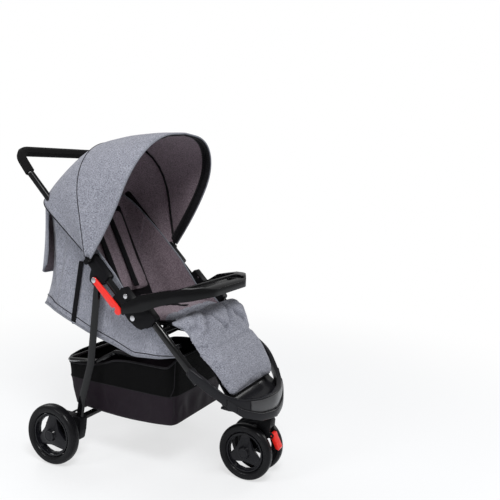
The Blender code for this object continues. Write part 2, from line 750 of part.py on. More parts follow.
def swivel_lock():
    y, z = LOCK_PIVOT
    outline = [(y + 0.0045, z + 0.006), (y - 0.005, z + 0.006), (y - 0.012, z - 0.010),
               (y - 0.026, z - 0.036), (y - 0.024, z - 0.043), (y - 0.014, z - 0.041),
               (y + 0.001, z - 0.012), (y + 0.0045, z - 0.004)]
    body = plate("swivel_lock", outline, -LOCK_HALF_X, LOCK_HALF_X, red_plastic())
    pin = cross_rod("pin", LOCK_PIVOT, -0.0178, 0.0178, LOCK_PIN_R, None, 12)
    return [join(body, pin)]


# Handle frame

def handle_path():
    """The handle's centre line, from the right sleeve round to the left one."""
    start = upper(TUBE_START)
    bend = upper(HANDLE_STRAIGHT)
    top = upper(HANDLE_REACH, HANDLE_LIFT)
    corners = [(-SIDE_X, *start), (-SIDE_X, *bend), (-SIDE_X, *top),
               (SIDE_X, *top), (SIDE_X, *bend), (SIDE_X, *start)]
    return fillet(corners, HANDLE_CORNER_R, 5)


def handle_tube():
    return [tube("handle_tube", handle_path(), UPPER_TUBE_R, black_tube(),
                 flat=TUBE_HALF_X / UPPER_TUBE_R)]


def handle_grip():
    low = upper(HANDLE_REACH - GRIP_LEG)
    top = upper(HANDLE_REACH, HANDLE_LIFT)
    corners = [(-SIDE_X, *low), (-SIDE_X, *top), (SIDE_X, *top), (SIDE_X, *low)]
    outer = tube("handle_grip", fillet(corners, HANDLE_CORNER_R, 5), GRIP_R, foam(),
                 flat=GRIP_HALF_X / GRIP_R)
    bore_r = UPPER_TUBE_R + GRIP_GAP
    bore = tube("bore", handle_path(), bore_r, None, flat=(TUBE_HALF_X + GRIP_GAP) / bore_r)
    return [cut(outer, bore)]


def upper_clearance(name, sign, start, end, wall=0.0):
    return side_tube(name, sign * SIDE_X, [upper(start), upper(end)],
                     UPPER_TUBE_R + GAP + wall, TUBE_HALF_X + GAP + wall, None)


def handle_sleeves():
    """Blocks on the tube's lower ends, each with a tongue on the fold pivot."""
    block = [upper(SLEEVE_FROM, SLEEVE_LOW), upper(SLEEVE_TO, SLEEVE_LOW),
             upper(SLEEVE_TO, SLEEVE_HIGH), upper(SLEEVE_FROM, SLEEVE_HIGH)]
    tongue = [upper(SLEEVE_FROM + 0.004, -0.010), upper(SLEEVE_FROM + 0.004, 0.010)]
    tongue += [upper(0.0125 * math.cos(a), 0.0125 * math.sin(a))
               for a in [math.radians(60 + 30 * k) for k in range(9)]]
    made = []
    for side, sign in SIDES:
        body = plate("handle_sleeve_" + side, fillet(block, 0.005, 2, True),
                     sign * (SIDE_X - BRACKET_HALF_X), sign * (SIDE_X + BRACKET_HALF_X),
                     black_plastic())
        tab = plate("tongue", tongue, sign * SIDE_X - 0.005, sign * SIDE_X + 0.005, None)
        body = join(body, tab)
        hole = cross_rod("pin_hole", FOLD, sign * 0.18, sign * 0.23, PIN_R + GAP)
        bore = upper_clearance("bore", sign, TUBE_START - GAP, 0.20)
        rivet = cross_rod("rivet_hole", SLEEVE_RIVET, sign * 0.18, sign * 0.23, RIVET_R + GAP)
        made.append(cut(body, hole, bore, rivet))
    return made


def sleeve_rivets():
    made = []
    for side, sign in SIDES:
        inner = SIDE_X - BRACKET_HALF_X + 0.002
        outer = SIDE_X + BRACKET_HALF_X + GAP
        body = cross_rod("sleeve_rivet_" + side, SLEEVE_RIVET, sign * inner, sign * outer,
                         RIVET_R, bright_steel())
        head = cross_rod("head", SLEEVE_RIVET, sign * (outer - 0.0001),
                         sign * (outer + PIN_HEAD_T), RIVET_HEAD_R)
        made.append(join(body, head))
    return made


def upper_brackets():
    """Clamps on the handle tube that carry the rear leg and the canopy bows."""
    outline = [upper(0.145, -0.017), upper(0.157, -0.046), upper(0.185, -0.048),
               upper(0.199, -0.030), upper(0.205, -0.017), upper(0.240, -0.016),
               upper(0.240, 0.016), upper(0.145, 0.016)]
    slot = [upper(0.140, -0.0150), upper(0.210, -0.0150), upper(0.215, -0.070),
            upper(0.120, -0.070)]
    made = []
    leg_half = TUBE_HALF_X + SLOT_GAP
    for side, sign in SIDES:
        inner = sign * (SIDE_X - BRACKET_HALF_X)
        outer = sign * (SIDE_X + BRACKET_HALF_X)
        body = plate("upper_bracket_" + side, fillet(outline, 0.006, 2, True), inner, outer,
                     black_plastic())
        gap = plate("slot", slot, sign * SIDE_X - leg_half, sign * SIDE_X + leg_half, None)
        hole = cross_rod("pin_hole", LEG_PIVOT, sign * 0.18, sign * 0.23, PIN_R + GAP)
        bore = upper_clearance("bore", sign, 0.10, 0.30)
        body = cut(body, gap, hole, bore)
        pin = cross_rod("canopy_pin", CANOPY_PIVOT, outer - sign * 0.003,
                        sign * (MID_BOW["x"] + BOW_EYE_HALF + 0.001), CANOPY_PIN_R)
        made.append(join(body, pin))
    return made


def leg_pins():
    made = []
    for side, sign in SIDES:
        inner = SIDE_X - BRACKET_HALF_X
        outer = SIDE_X + BRACKET_HALF_X + GAP
        reach = outer + (LATCH_X[1] - outer + GAP if sign < 0 else 0.0)
        body = cross_rod("leg_pin_" + side, LEG_PIVOT, sign * inner, sign * reach, PIN_R,
                         bright_steel())
        head = cross_rod("head", LEG_PIVOT, sign * (reach - 0.0001), sign * (reach + PIN_HEAD_T),
                         PIN_HEAD_R)
        made.append(join(body, head))
    return made


def fold_latch():
    """The hooked strip that hangs from the right leg's pin beside the tube."""
    shape = [(-0.0085, -0.004), (-0.0085, 0.004), (-0.003, 0.009), (0.050, 0.0115),
             (0.108, 0.0125), (0.128, 0.0115), (0.138, 0.004), (0.136, -0.007), (0.127, -0.013),
             (0.117, -0.011), (0.1155, -0.004), (0.109, -0.001), (0.105, -0.008),
             (0.098, -0.0105), (0.050, -0.0095), (-0.003, -0.0085)]
    outline = [along(LEG_PIVOT, LATCH_SLOPE, s, -t) for s, t in shape]
    body = plate("fold_latch", outline, -LATCH_X[0], -LATCH_X[1], red_plastic())
    hole = cross_rod("hole", LEG_PIVOT, -0.20, -0.24, PIN_R + GAP)
    return [cut(body, hole)]


# Rear legs

def leg_yz(margin=0.0):
    """The leg's centre line in side view, from just above its pivot to its foot."""
    down = (Vector(LEG_POINTS[0]) - Vector(LEG_PIVOT)).normalized()
    foot = (Vector(LEG_POINTS[-1]) - Vector(LEG_POINTS[-2])).normalized()
    top = Vector(LEG_PIVOT) - down * LEG_ABOVE_PIVOT
    end = Vector(LEG_POINTS[-1]) + foot * margin
    return fillet([top, *LEG_POINTS[:-1], end], LEG_BEND_R, 4)


def rear_legs():
    made = []
    for side, sign in SIDES:
        leg = side_tube("rear_leg_" + side, sign * SIDE_X, leg_yz(), LEG_R, TUBE_HALF_X,
                        black_tube())
        hole = cross_rod("hole", LEG_PIVOT, sign * 0.18, sign * 0.23, PIN_R + GAP)
        made.append(cut(leg, hole))
    return made


def rear_brackets():
    """Plastic feet that join each leg to the wheel's axle, the cross tube and the brake."""
    axle = (REAR_AXLE_Y, REAR_WHEEL_R)
    outline = [(0.152, 0.154), (0.250, 0.154), (0.254, 0.098), (0.248, 0.080), (0.215, 0.074),
               (0.164, 0.074), (0.156, 0.110)]
    x_in, x_out = REAR_BRACKET_X
    made = []
    for side, sign in SIDES:
        body = plate("rear_bracket_" + side, fillet(outline, 0.010, 2, True), sign * x_in,
                     sign * x_out, black_plastic())
        leg = side_tube("leg_hole", sign * SIDE_X, leg_yz(GAP), LEG_R + GAP,
                        TUBE_HALF_X + GAP, None)
        brake = cross_rod("brake_hole", BRAKE_ROD, sign * 0.18, sign * 0.24,
                          BRAKE_ROD_R + GAP, None, 12)
        body = cut(body, leg, brake)
        hub = REAR_WHEEL_X - REAR_TYRE_W / 2 - GAP
        collar = cross_rod("collar", axle, sign * (x_out - 0.002), sign * hub, 0.011)
        tip = REAR_WHEEL_X + REAR_TYRE_W / 2 * 0.60 - GAP
        stub = cross_rod("stub", axle, sign * (x_out - 0.004), sign * tip, AXLE_R)
        made.append(join(body, collar, stub))
    return made


def cross_tube():
    reach = REAR_BRACKET_X[0] - GAP
    return [cross_rod("rear_cross_tube", CROSS_TUBE, -reach, reach, CROSS_TUBE_R, black_tube())]


def brake_parts():
    """A thin rod across both feet, with a pressed pedal at each end."""
    reach = REAR_BRACKET_X[1] + 0.009
    bar = cross_rod("brake_rod", BRAKE_ROD, -reach, reach, BRAKE_ROD_R, black_tube(), 12)
    y, z = BRAKE_ROD
    outline = [(y - 0.008, z - 0.004), (y - 0.004, z + 0.008), (y + 0.006, z + 0.008),
               (y + 0.030, z - 0.008), (y + 0.056, z - 0.024), (y + 0.056, z - 0.034),
               (y + 0.044, z - 0.034), (y + 0.022, z - 0.020), (y, z - 0.010)]
    made = [bar]
    for side, sign in SIDES:
        x_in = sign * (REAR_BRACKET_X[1] + 2 * GAP)
        pedal = plate("brake_pedal_" + side, outline, x_in, x_in + sign * 0.010, red_plastic())
        hole = cross_rod("hole", BRAKE_ROD, sign * 0.21, sign * 0.25, BRAKE_ROD_R + GAP, None, 12)
        made.append(cut(pedal, hole))
    return made


# Lower link

def link_pivot():
    return (LINK_PIVOT_Y, front_axis_z(LINK_PIVOT_Y))


def seat_link():
    """A U-shaped tube on the front tubes, whose open end rims the basket."""
    pivot = Vector(link_pivot())
    start = pivot + (pivot - Vector(LINK_POINTS[0])).normalized() * LINK_R
    side = [tuple(start), *LINK_POINTS]
    corners = [(-LINK_X, *p) for p in side] + [(LINK_X, *p) for p in reversed(side)]
    body = tube("seat_link", fillet(corners, LINK_CORNER_R, 2), LINK_R, black_tube(), sides=1)
    face = SIDE_X - TUBE_HALF_X - GAP
    pins = []
    for _, sign in SIDES:
        pins.append(cross_rod("pivot", link_pivot(), sign * (LINK_X - LINK_R / 2), sign * face,
                              LINK_PIN_R))
        pins.append(cross_rod("rest", LINK_PIN, sign * (LINK_X - LINK_R / 2),
                              sign * (face - LINK_PIN_GAP), LINK_PIN_R))
    return [join(body, *pins)]


# Canopy

def arch(shape):
    """Half of a bow as (x, radius) pairs, from the side up to its crown."""
    corner_x, corner_r = shape["corner"]
    x, height = shape["x"], shape["height"]
    pairs = []
    for k in range(BOW_COUNT):
        a = math.pi / 2 * k / (BOW_COUNT - 1)
        pairs.append((x - corner_x + corner_x * math.cos(a) ** BOW_ROUND,
                      height - corner_r + corner_r * math.sin(a) ** BOW_ROUND))
    return pairs + [(0.0, height + BOW_CROWN)]


def full_arch(shape, start):
    half = [(shape["x"], start)] + arch(shape)
    return half + [(-x, r) for x, r in reversed(half[:-1])]


def canopy_point(x, radius, angle):
    return (x, CANOPY_PIVOT[0] + radius * math.cos(angle),
            CANOPY_PIVOT[1] + radius * math.sin(angle))


def bow(name, shape):
    path = [canopy_point(x, r, shape["angle"]) for x, r in full_arch(shape, BOW_START)]
    body = tube(name, path, BOW_R, black_tube(), sides=1)
    eyes, holes = [], []
    for _, sign in SIDES:
        x = sign * shape["x"]
        eyes.append(cross_rod("eye", CANOPY_PIVOT, x - BOW_EYE_HALF, x + BOW_EYE_HALF,
                              BOW_EYE_R))
        holes.append(cross_rod("hole", CANOPY_PIVOT, x - 0.006, x + 0.006,
                               CANOPY_PIN_R + GAP))
    return [cut(join(body, *eyes), *holes)]


def over_bow(shape):
    """The line of cloth that lies over a bow."""
    lift = BOW_R + CLOTH_T / 2 + CLOTH_LIFT
    lifted = {**shape, "x": shape["x"] + lift, "height": shape["height"] + lift}
    return full_arch(lifted, CLOTH_START)


def canopy_rows(first, second, steps, draw_in):
    """Rows of points between two lines, each with its angle as a function of the radius."""
    rows = []
    for k in range(steps + 1):
        t = k / steps
        eased = t * t * (3 - 2 * t)
        draw = 1 - draw_in * math.sin(math.pi * t)
        row = []
        for (xa, ra), (xb, rb) in zip(first["line"], second["line"]):
            start, end = first["at"](ra), second["at"](rb)
            row.append(canopy_point(xa + (xb - xa) * eased, (ra + (rb - ra) * t) * draw,
                                    start + (end - start) * t))
        rows.append(row)
    return rows


def brim_angle(radius):
    half_way = math.sin(math.pi * min(radius / FRONT_BOW["height"], 1.0))
    return FRONT_BOW["angle"] + (BRIM + BRIM_BULGE * half_way) / radius


def canopy_front_cloth():
    brim = {"line": over_bow(FRONT_BOW), "at": brim_angle}
    front_bow = {"line": over_bow(FRONT_BOW), "at": lambda r: FRONT_BOW["angle"]}
    seam = {"line": over_bow(MID_BOW), "at": lambda r: MID_BOW["angle"] + GAP / r}
    rows = canopy_rows(brim, front_bow, 2, 0.0)[:-1]
    rows += canopy_rows(front_bow, seam, CLOTH_STEPS, CLOTH_DRAW_IN)
    return [sheet_object("canopy_front_cloth", rows, CLOTH_T, grey_cloth())]


def canopy_rear_cloth():
    seam = {"line": over_bow(MID_BOW), "at": lambda r: MID_BOW["angle"] - GAP / r}
    edge = {"line": full_arch(REAR_EDGE, CLOTH_START), "at": lambda r: REAR_EDGE["angle"]}
    rows = canopy_rows(seam, edge, CLOTH_STEPS, CLOTH_DRAW_IN)
    cloth = sheet_object("canopy_rear_cloth", rows, CLOTH_T, grey_cloth())
    slots = [upper_clearance("slot", sign, *TUBE_NOTCH, TUBE_NOTCH_WALL) for _, sign in SIDES]
    return [cut(cloth, *slots)]


# Seat, pads and straps

def seat_board():
    end = along(SEAT_FRONT, -SEAT_TILT, SEAT_LENGTH)
    outline = [SEAT_FRONT, end, along(SEAT_FRONT, -SEAT_TILT, SEAT_LENGTH, BOARD_T),
               along(SEAT_FRONT, -SEAT_TILT, 0.0, BOARD_T)]
    return [plate("seat_board", outline, -SEAT_HALF_X, SEAT_HALF_X, black_plastic())]


def back_at(distance, offset):
    """A side point up the backrest, with offset towards the child."""
    return along(BACK_PIVOT, BACK_SLOPE, distance, offset)


def back_board():
    low, high = -BACK_HALF_T, BACK_HALF_T
    outline = [back_at(-0.002, low), back_at(BACK_LENGTH, low), back_at(BACK_LENGTH, high),
               back_at(-0.002, high)]
    return [plate("back_board", outline, -BACK_HALF_X, BACK_HALF_X, black_plastic())]


def calf_slope():
    return math.atan2(CALF_TOP[1] - CALF_FOOT[1], CALF_TOP[0] - CALF_FOOT[0])


def calf_at(distance, offset):
    """A side point down the calf rest, with offset towards the front."""
    slope = calf_slope() + math.pi
    return along(CALF_TOP, slope, distance, -offset)


def calf_length():
    return (Vector(CALF_TOP) - Vector(CALF_FOOT)).length


def calf_board():
    length = calf_length()
    outline = [calf_at(0.0, 0.0), calf_at(length, 0.0), calf_at(length, BOARD_T),
               calf_at(0.0, BOARD_T)]
    return [plate("calf_board", outline, -CALF_HALF_X, CALF_HALF_X, black_plastic())]


def swell(u, v, channel, seam):
    """A pad's height at (u, v) as a share of its thickness, each from -1 to 1."""
    crown = (1 - abs(u) ** 4) ** 0.5 * (1 - abs(v) ** 4) ** 0.5
    height = PAD_EDGE + (1 - PAD_EDGE) * crown
    if channel and abs(abs(v) - cage_line(CHANNEL_ROW)) < 0.01:
        height -= CHANNEL_DEPTH * crown
    if seam and abs(u + cage_line(SEAM_ROW)) < 0.01:
        height -= SEAM_DEPTH
    return height


def cage_line(row):
    """A row of the cage as a place from 1, at the edge, down to 0, in the middle."""
    return 1 - 2 * row / (PAD_CUTS + 1)


def cushion(name, place, shape, look, channel=False, seam=False):
    """A padded cushion: a flat underside, a crowned top and drawn-in sides."""
    cage = bmesh.new()
    bmesh.ops.create_cube(cage, size=2.0)
    flat_edges = [e for e in cage.edges if abs((e.verts[0].co - e.verts[1].co).z) < 0.1]
    bmesh.ops.subdivide_edges(cage, edges=flat_edges, cuts=PAD_CUTS, use_grid_fill=True)
    first, last = shape["half_x"]
    even = [shape["length"] * k / (PAD_CUTS + 1) for k in range(PAD_CUTS + 2)]
    rows = shape.get("rows", even)
    for vert in cage.verts:
        u, v, w = vert.co
        t = rows[round((u + 1) / 2 * (PAD_CUTS + 1))] / shape["length"]
        height = shape["thick"] * swell(u, v, channel, seam)
        half_x = (first + (last - first) * t) * (1 - PAD_DRAW_IN * (1 - u * u) * abs(v) ** 3)
        vert.co = Vector((v * half_x, *place(shape["from"] + t * shape["length"],
                                             height * (w + 1) / 2)))
    bmesh.ops.recalc_face_normals(cage, faces=cage.faces)
    mesh = bpy.data.meshes.new(name)
    cage.to_mesh(mesh)
    cage.free()
    obj = add_object(name, mesh, look)
    smooth = obj.modifiers.new("smooth", "SUBSURF")
    smooth.levels = 1
    smooth.render_levels = 1
    return baked(obj, look)


def seat_at(distance, offset):
    """A side point back along the seat board's top."""
    start = along(SEAT_FRONT, -SEAT_TILT, 0.0, BOARD_T + GAP)
    return along(start, -SEAT_TILT, distance, offset)


def calf_pad_at(distance, offset):
    """A side point along the calf pad, which starts over the seat board's front edge."""
    slope = calf_slope()
    top = SEAT_FRONT[1] + BOARD_T + CALF_EASE[0]
    board = calf_at(0.0, BOARD_T + CALF_EASE[1])
    corner_y = board[0] + (top - board[1]) / math.tan(slope)
    trim = CALF_BEND_R * math.tan(slope / 2)
    flat, arc = CALF_WRAP - trim, CALF_BEND_R * slope
    turned = min(max((distance - flat) / arc, 0.0), 1.0)
    heading = math.pi + turned * slope
    straight = distance - flat - arc * turned
    reach = CALF_BEND_R + offset
    return (corner_y + trim + reach * math.sin(heading) + straight * math.cos(heading),
            top - CALF_BEND_R - reach * math.cos(heading) + straight * math.sin(heading))


def pads():
    seat = cushion("seat_pad", seat_at, SEAT_PAD, grey_cloth(), channel=True)
    back = cushion("back_pad", lambda s, t: back_at(s, BACK_HALF_T + GAP + t), BACK_PAD,
                   lining_cloth(), channel=True)
    calf = cushion("calf_pad", calf_pad_at, CALF_PAD, grey_cloth(), seam=True)
    return seat, back, calf


def ribbon(points, thickness):
    """The outline of a thin band that follows side points."""
    points = [Vector(p) for p in points]
    over, under = [], []
    for i, p in enumerate(points):
        tangent = points[min(i + 1, len(points) - 1)] - points[max(i - 1, 0)]
        normal = Vector((-tangent.y, tangent.x)).normalized() * thickness / 2
        over.append(p + normal)
        under.append(p - normal)
    return [tuple(p) for p in over + list(reversed(under))]


def straps():
    """Two shoulder straps over the backrest, and a crotch strap with its buckle."""
    lift = BACK_HALF_T + GAP + BACK_PAD["thick"] + HARNESS_LIFT
    thick = SEAT_PAD["thick"]
    path = [back_at(0.335, lift), back_at(0.22, lift), back_at(0.10, lift + 0.002),
            seat_at(0.215, thick + 0.024), seat_at(0.180, thick + 0.014)]
    made = []
    for side, sign in SIDES:
        made.append(plate("shoulder_strap_" + side, ribbon(path, 0.002), sign * 0.030,
                          sign * 0.055, black_cloth()))
    crotch = plate("crotch_strap", ribbon([seat_at(0.085, thick + CROTCH_LIFT),
                                           seat_at(0.115, thick + CROTCH_LIFT),
                                           seat_at(0.145, thick + 0.006)], 0.002),
                   -0.015, 0.015, black_cloth())
    buckle = [seat_at(0.142, thick + 0.0015), seat_at(0.172, thick + 0.006),
              seat_at(0.172, thick + 0.018), seat_at(0.142, thick + 0.014)]
    made.append(join(crotch, plate("buckle", buckle, -0.026, 0.026, None)))
    return made


def side_straps():
    """Webbing from the handle tube down to the tub's edge, on the left also to the rim."""
    x = TUB_X + (CLOTH_T + STRAP_T) / 2 + GAP
    top, foot = upper(*STRAP_TOP), STRAP_FOOT
    made = []
    for side, sign in SIDES:
        stations = [(x, *top, STRAP_WIDE), (x, *foot, STRAP_WIDE)]
        if sign > 0:
            low = (foot[0], foot[1] - STRAP_WIDE / 2)
            rim_x = LINK_X + LINK_R + STRAP_T / 2 + GAP
            stations += [(x, *low, STRAP_THIN), (rim_x, *STRAP_RIM, STRAP_THIN)]
        rows = [[(sign * px, y - wide / 2, z), (sign * px, y + wide / 2, z)]
                for px, y, z, wide in stations]
        made.append(sheet_object("side_strap_" + side, rows, STRAP_T, black_cloth()))
    return made


# Cloth tub, flap and basket

def interpolate(pairs, at):
    for (a, p), (b, q) in zip(pairs, pairs[1:]):
        if at <= b:
            return p + (q - p) * (at - a) / (b - a)
    return pairs[-1][1]


def tub_top_z(y):
    if y < TUB_CLIMB_Y:
        return front_axis_z(y) - TUB_BELOW_TUBE
    if y < FOLD[0]:
        start = front_axis_z(TUB_CLIMB_Y) - TUB_BELOW_TUBE
        return start + (FOLD[1] - start) * (y - TUB_CLIMB_Y) / (FOLD[0] - TUB_CLIMB_Y)
    return FOLD[1] + (y - FOLD[0]) * math.tan(UPPER_SLOPE)


def rear_wall(k, share):
    """A point of the cloth behind the backrest, at a share of its height."""
    foot, top = Vector(TUB_REAR_FOOT[k]), Vector(TUB_REAR_TOP[k])
    low = foot.lerp(top, share)
    low.y = foot.y + (top.y - foot.y) * (1 - (1 - share) ** TUB_FLARE)
    return low


def mirrored(half):
    """A row of points from the left side, continued to the right one."""
    return half + [Vector((-p[0], p[1], p[2])) for p in reversed(half[:-1])]


def seat_tub():
    """The cloth round the seat: two sides and a rear wall with round corners."""
    rows = []
    for j in range(TUB_ROWS + 1):
        share = j / TUB_ROWS
        half = [Vector((TUB_X, y, interpolate(TUB_BOTTOM, y))).lerp(
            Vector((TUB_X, y, tub_top_z(y))), share) for y in TUB_SIDE]
        half += [rear_wall(k, share) for k in range(len(TUB_REAR_FOOT))]
        rows.append(mirrored(half))
    return [sheet_object("seat_tub", rows, CLOTH_T, grey_cloth())]


def flap_point(k, share):
    """A point of the flap, off the facet of the rear wall that it hangs over."""
    def facet(station):
        row = min(int(share * TUB_ROWS), TUB_ROWS - 1)
        low, high = rear_wall(station, row / TUB_ROWS), rear_wall(station, (row + 1) / TUB_ROWS)
        return low.lerp(high, share * TUB_ROWS - row)
    run = Vector((-1.0, 0.0, 0.0))
    if k < len(TUB_REAR_FOOT) - 1:
        run = (facet(k + 1) - facet(k - 1)).normalized()
    return facet(k) + Vector((run.y, -run.x, 0.0)) * FLAP_OFF


def rear_flap():
    """The cloth that hangs over the rear wall from its top edge."""
    stations = range(1, len(TUB_REAR_FOOT))
    rows = [mirrored([flap_point(k, share) for k in stations]) for share in FLAP_SHARES]
    return [sheet_object("rear_flap", rows, FLAP_T, grey_cloth())]


def basket_ring(outline):
    half = [Vector(p) for p in outline]
    return half + [Vector((-p.x, p.y, p.z)) for p in reversed(half[1:-1])]


def basket():
    """An open cloth trough under the seat, round the link's rear bar."""
    levels = [basket_ring(outline) for outline in (BASKET_RIM, BASKET_MID, BASKET_FLOOR)]
    points = [levels[0]]
    for over, under in zip(levels, levels[1:]):
        for k in range(1, BASKET_STEPS + 1):
            points.append([a.lerp(b, k / BASKET_STEPS) for a, b in zip(over, under)])
    shape = bmesh.new()
    rings = [[shape.verts.new(p) for p in ring] for ring in points]
    count = len(rings[0])
    for over, under in zip(rings, rings[1:]):
        for i in range(count):
            j = (i + 1) % count
            shape.faces.new((over[i], over[j], under[j], under[i]))
    floor = rings[-1]
    for i in range(count // 2):
        corners = [floor[i], floor[i + 1], floor[(count - i - 1) % count],
                   floor[(count - i) % count]]
        shape.faces.new(list(dict.fromkeys(corners)))
    bmesh.ops.recalc_face_normals(shape, faces=shape.faces)
    mesh = bpy.data.meshes.new("basket")
    shape.to_mesh(mesh)
    shape.free()
    obj = add_object("basket", mesh, None)
    solid = obj.modifiers.new("thickness", "SOLIDIFY")
    solid.thickness = CLOTH_T
    solid.offset = 0.0
    solid.use_even_offset = True
    return [baked(obj, black_cloth())]


# Tray

def tray(distance, offset=0.0):
    """A side point forward along the tray's plane from its rear reference."""
    return along(TRAY_REAR, math.pi - TRAY_SLOPE, distance, -offset)


def upright(name, plan, low, high):
    """A plan outline of (x, y) pairs as a prism between two heights."""
    obj = curve_object(name, [(x, y, 0.0) for x, y in plan], True, "2D")
    obj.data.fill_mode = "BOTH"
    obj.data.extrude = (high - low) / 2
    obj.location.z = (low + high) / 2
    return baked(obj, None)


def both_sides(half):
    return half + [(-x, y) for x, y in reversed(half)]


def child_tray():
    """A loop with a wide front deck, whose arms slide over pegs on the housings."""
    side = fillet(TRAY_TOP + TRAY_UNDER, TRAY_EDGE_R, 2, True)
    body = plate("child_tray", side, -SIDE_X - 0.05, SIDE_X + 0.05, black_plastic())
    outer = fillet(both_sides(TRAY_OUTER), TRAY_OUTER_R, 4)
    inner = fillet(both_sides(TRAY_INNER), TRAY_INNER_R, 3)
    loop = upright("loop", outer + list(reversed(inner)), 0.4, ABOVE_TRAY)
    body = boolean(body, loop, "INTERSECT")
    pocket = upright("pocket", fillet(POCKET, 0.012, 2, True), POCKET_Z, ABOVE_TRAY)
    cup = rod("cup", (*CUP, CUP_Z), (*CUP, ABOVE_TRAY), CUP_R, None, 24)
    slots = [tray_peg(sign, GAP, SLOT_BEHIND) for sign in (-1, 1)]
    return [cut(body, pocket, cup, *slots)]


# The whole

def build():
    clear_scene()
    root = empty("front_frame", (0, 0, 0))
    fold_axis = empty("fold_axis", (0, *FOLD), root)
    leg_axis = empty("leg_axis", (0, *LEG_PIVOT), fold_axis)
    caster_axis = empty("caster_axis", (0, CASTER_Y, STEM_Z[1]), root)
    canopy_axis = empty("canopy_axis", (0, *CANOPY_PIVOT), fold_axis)
    seat_pad, back_pad, calf_pad = pads()
    *shoulder_straps, crotch_strap = straps()
    pieces = {
        root: front_tubes() + seat_bar() + hinge_housings() + fold_pins() + nose()
        + nose_panel() + seat_board() + calf_board() + seat_tub() + basket()
        + [seat_pad, calf_pad, crotch_strap],
        fold_axis: handle_tube() + handle_grip() + handle_sleeves() + sleeve_rivets()
        + upper_brackets() + leg_pins() + side_straps() + rear_flap() + canopy_rear_cloth(),
        leg_axis: rear_legs() + rear_brackets() + cross_tube(),
        empty("brake_axis", (0, *BRAKE_ROD), leg_axis): brake_parts(),
        empty("link_axis", (0, *link_pivot()), root): seat_link(),
        empty("latch_axis", (-LATCH_X[0], *LEG_PIVOT), fold_axis): fold_latch(),
        canopy_axis: bow("canopy_front_bow", FRONT_BOW) + canopy_front_cloth(),
        empty("mid_bow_axis", (0, *CANOPY_PIVOT), fold_axis): bow("canopy_mid_bow", MID_BOW),
        empty("back_axis", (0, *BACK_PIVOT), fold_axis): back_board() + [back_pad]
        + shoulder_straps,
        caster_axis: caster_fork() + caster_stem() + front_axle(),
        empty("lock_axis", (0, *LOCK_PIVOT), caster_axis): swivel_lock(),
        empty("tray_axis", (0, *TRAY_REAR), root): child_tray(),
    }
    rear_hub, front_hub = (REAR_AXLE_Y, REAR_WHEEL_R), front_axle_yz()
    for side, sign in SIDES:
        x = sign * REAR_WHEEL_X
        pieces[empty("rear_wheel_axis_" + side, (x, *rear_hub), leg_axis)] = wheel(
            "rear", side, sign, x, rear_hub, REAR_WHEEL_R, REAR_RIM_R, REAR_TYRE_W)
        x = sign * FRONT_WHEEL_X
        pieces[empty("front_wheel_axis_" + side, (x, *front_hub), caster_axis)] = wheel(
            "front", side, sign, x, front_hub, FRONT_WHEEL_R, FRONT_RIM_R, FRONT_TYRE_W)
    for axis, members in pieces.items():
        for piece in members:
            attach(piece, axis)


build()
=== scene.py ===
# %% [markdown]
# A folding three-wheeled stroller, dressed around its CAD model.
# The CAD model gives every tube, wheel and joint its place, in metres.
# The front faces -Y, +X is the child's left and the floor is at Z = 0.
# This lesson adds the finishes, the padded seat and the cloth.

# %% Load the frame
import math
from contextlib import contextmanager

import bpy
import numpy as np
from mathutils import Matrix, Vector, noise


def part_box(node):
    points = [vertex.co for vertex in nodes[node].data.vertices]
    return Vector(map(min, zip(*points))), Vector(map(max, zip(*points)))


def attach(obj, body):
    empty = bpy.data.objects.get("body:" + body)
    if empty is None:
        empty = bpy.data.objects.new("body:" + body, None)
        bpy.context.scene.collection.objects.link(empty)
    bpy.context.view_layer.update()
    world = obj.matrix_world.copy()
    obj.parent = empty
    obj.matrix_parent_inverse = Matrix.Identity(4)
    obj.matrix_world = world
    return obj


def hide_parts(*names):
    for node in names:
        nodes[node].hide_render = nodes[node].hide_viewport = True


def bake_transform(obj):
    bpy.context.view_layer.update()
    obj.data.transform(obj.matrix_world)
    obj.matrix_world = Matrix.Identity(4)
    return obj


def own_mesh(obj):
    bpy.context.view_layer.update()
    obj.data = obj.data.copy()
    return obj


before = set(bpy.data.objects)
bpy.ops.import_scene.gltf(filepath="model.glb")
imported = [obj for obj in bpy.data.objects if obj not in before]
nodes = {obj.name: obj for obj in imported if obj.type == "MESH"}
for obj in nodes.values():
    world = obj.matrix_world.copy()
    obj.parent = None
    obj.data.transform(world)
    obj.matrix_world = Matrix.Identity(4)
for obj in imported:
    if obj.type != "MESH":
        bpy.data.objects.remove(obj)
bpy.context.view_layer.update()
SIDES = (("right", -1), ("left", 1))
print("CAD nodes:", len(nodes))

# %% [markdown]
# Small helpers come first.
# An operator works on whatever is selected, so each one starts from a clear selection.

# %% Helpers for operators
def pick(*objs):
    """Selects these objects alone, the first one active."""
    bpy.ops.object.select_all(action="DESELECT")
    for obj in objs:
        obj.select_set(True)
    bpy.context.view_layer.objects.active = objs[0]


def keep_modifiers(obj):
    """Applies every modifier, so that the mesh is final."""
    pick(obj)
    for modifier in list(obj.modifiers):
        bpy.ops.object.modifier_apply(modifier=modifier.name)


def smooth_by_angle(obj, degrees):
    pick(obj)
    bpy.ops.object.shade_smooth_by_angle(angle=math.radians(degrees))


def round_edges(obj, width, segments, degrees):
    """Rounds the edges whose faces meet at more than this angle."""
    edge = obj.modifiers.new("edge", "BEVEL")
    edge.width = width
    edge.segments = segments
    edge.limit_method = "ANGLE"
    edge.angle_limit = math.radians(degrees)
    keep_modifiers(obj)


def settle(obj):
    """Moves the object's place into its mesh."""
    pick(obj)
    bpy.ops.object.transform_apply(location=True, rotation=True, scale=True)


@contextmanager
def editing(obj):
    """Edit mode with everything selected, and object mode again afterwards."""
    pick(obj)
    bpy.ops.object.mode_set(mode="EDIT")
    bpy.ops.mesh.select_all(action="SELECT")
    yield
    bpy.ops.object.mode_set(mode="OBJECT")


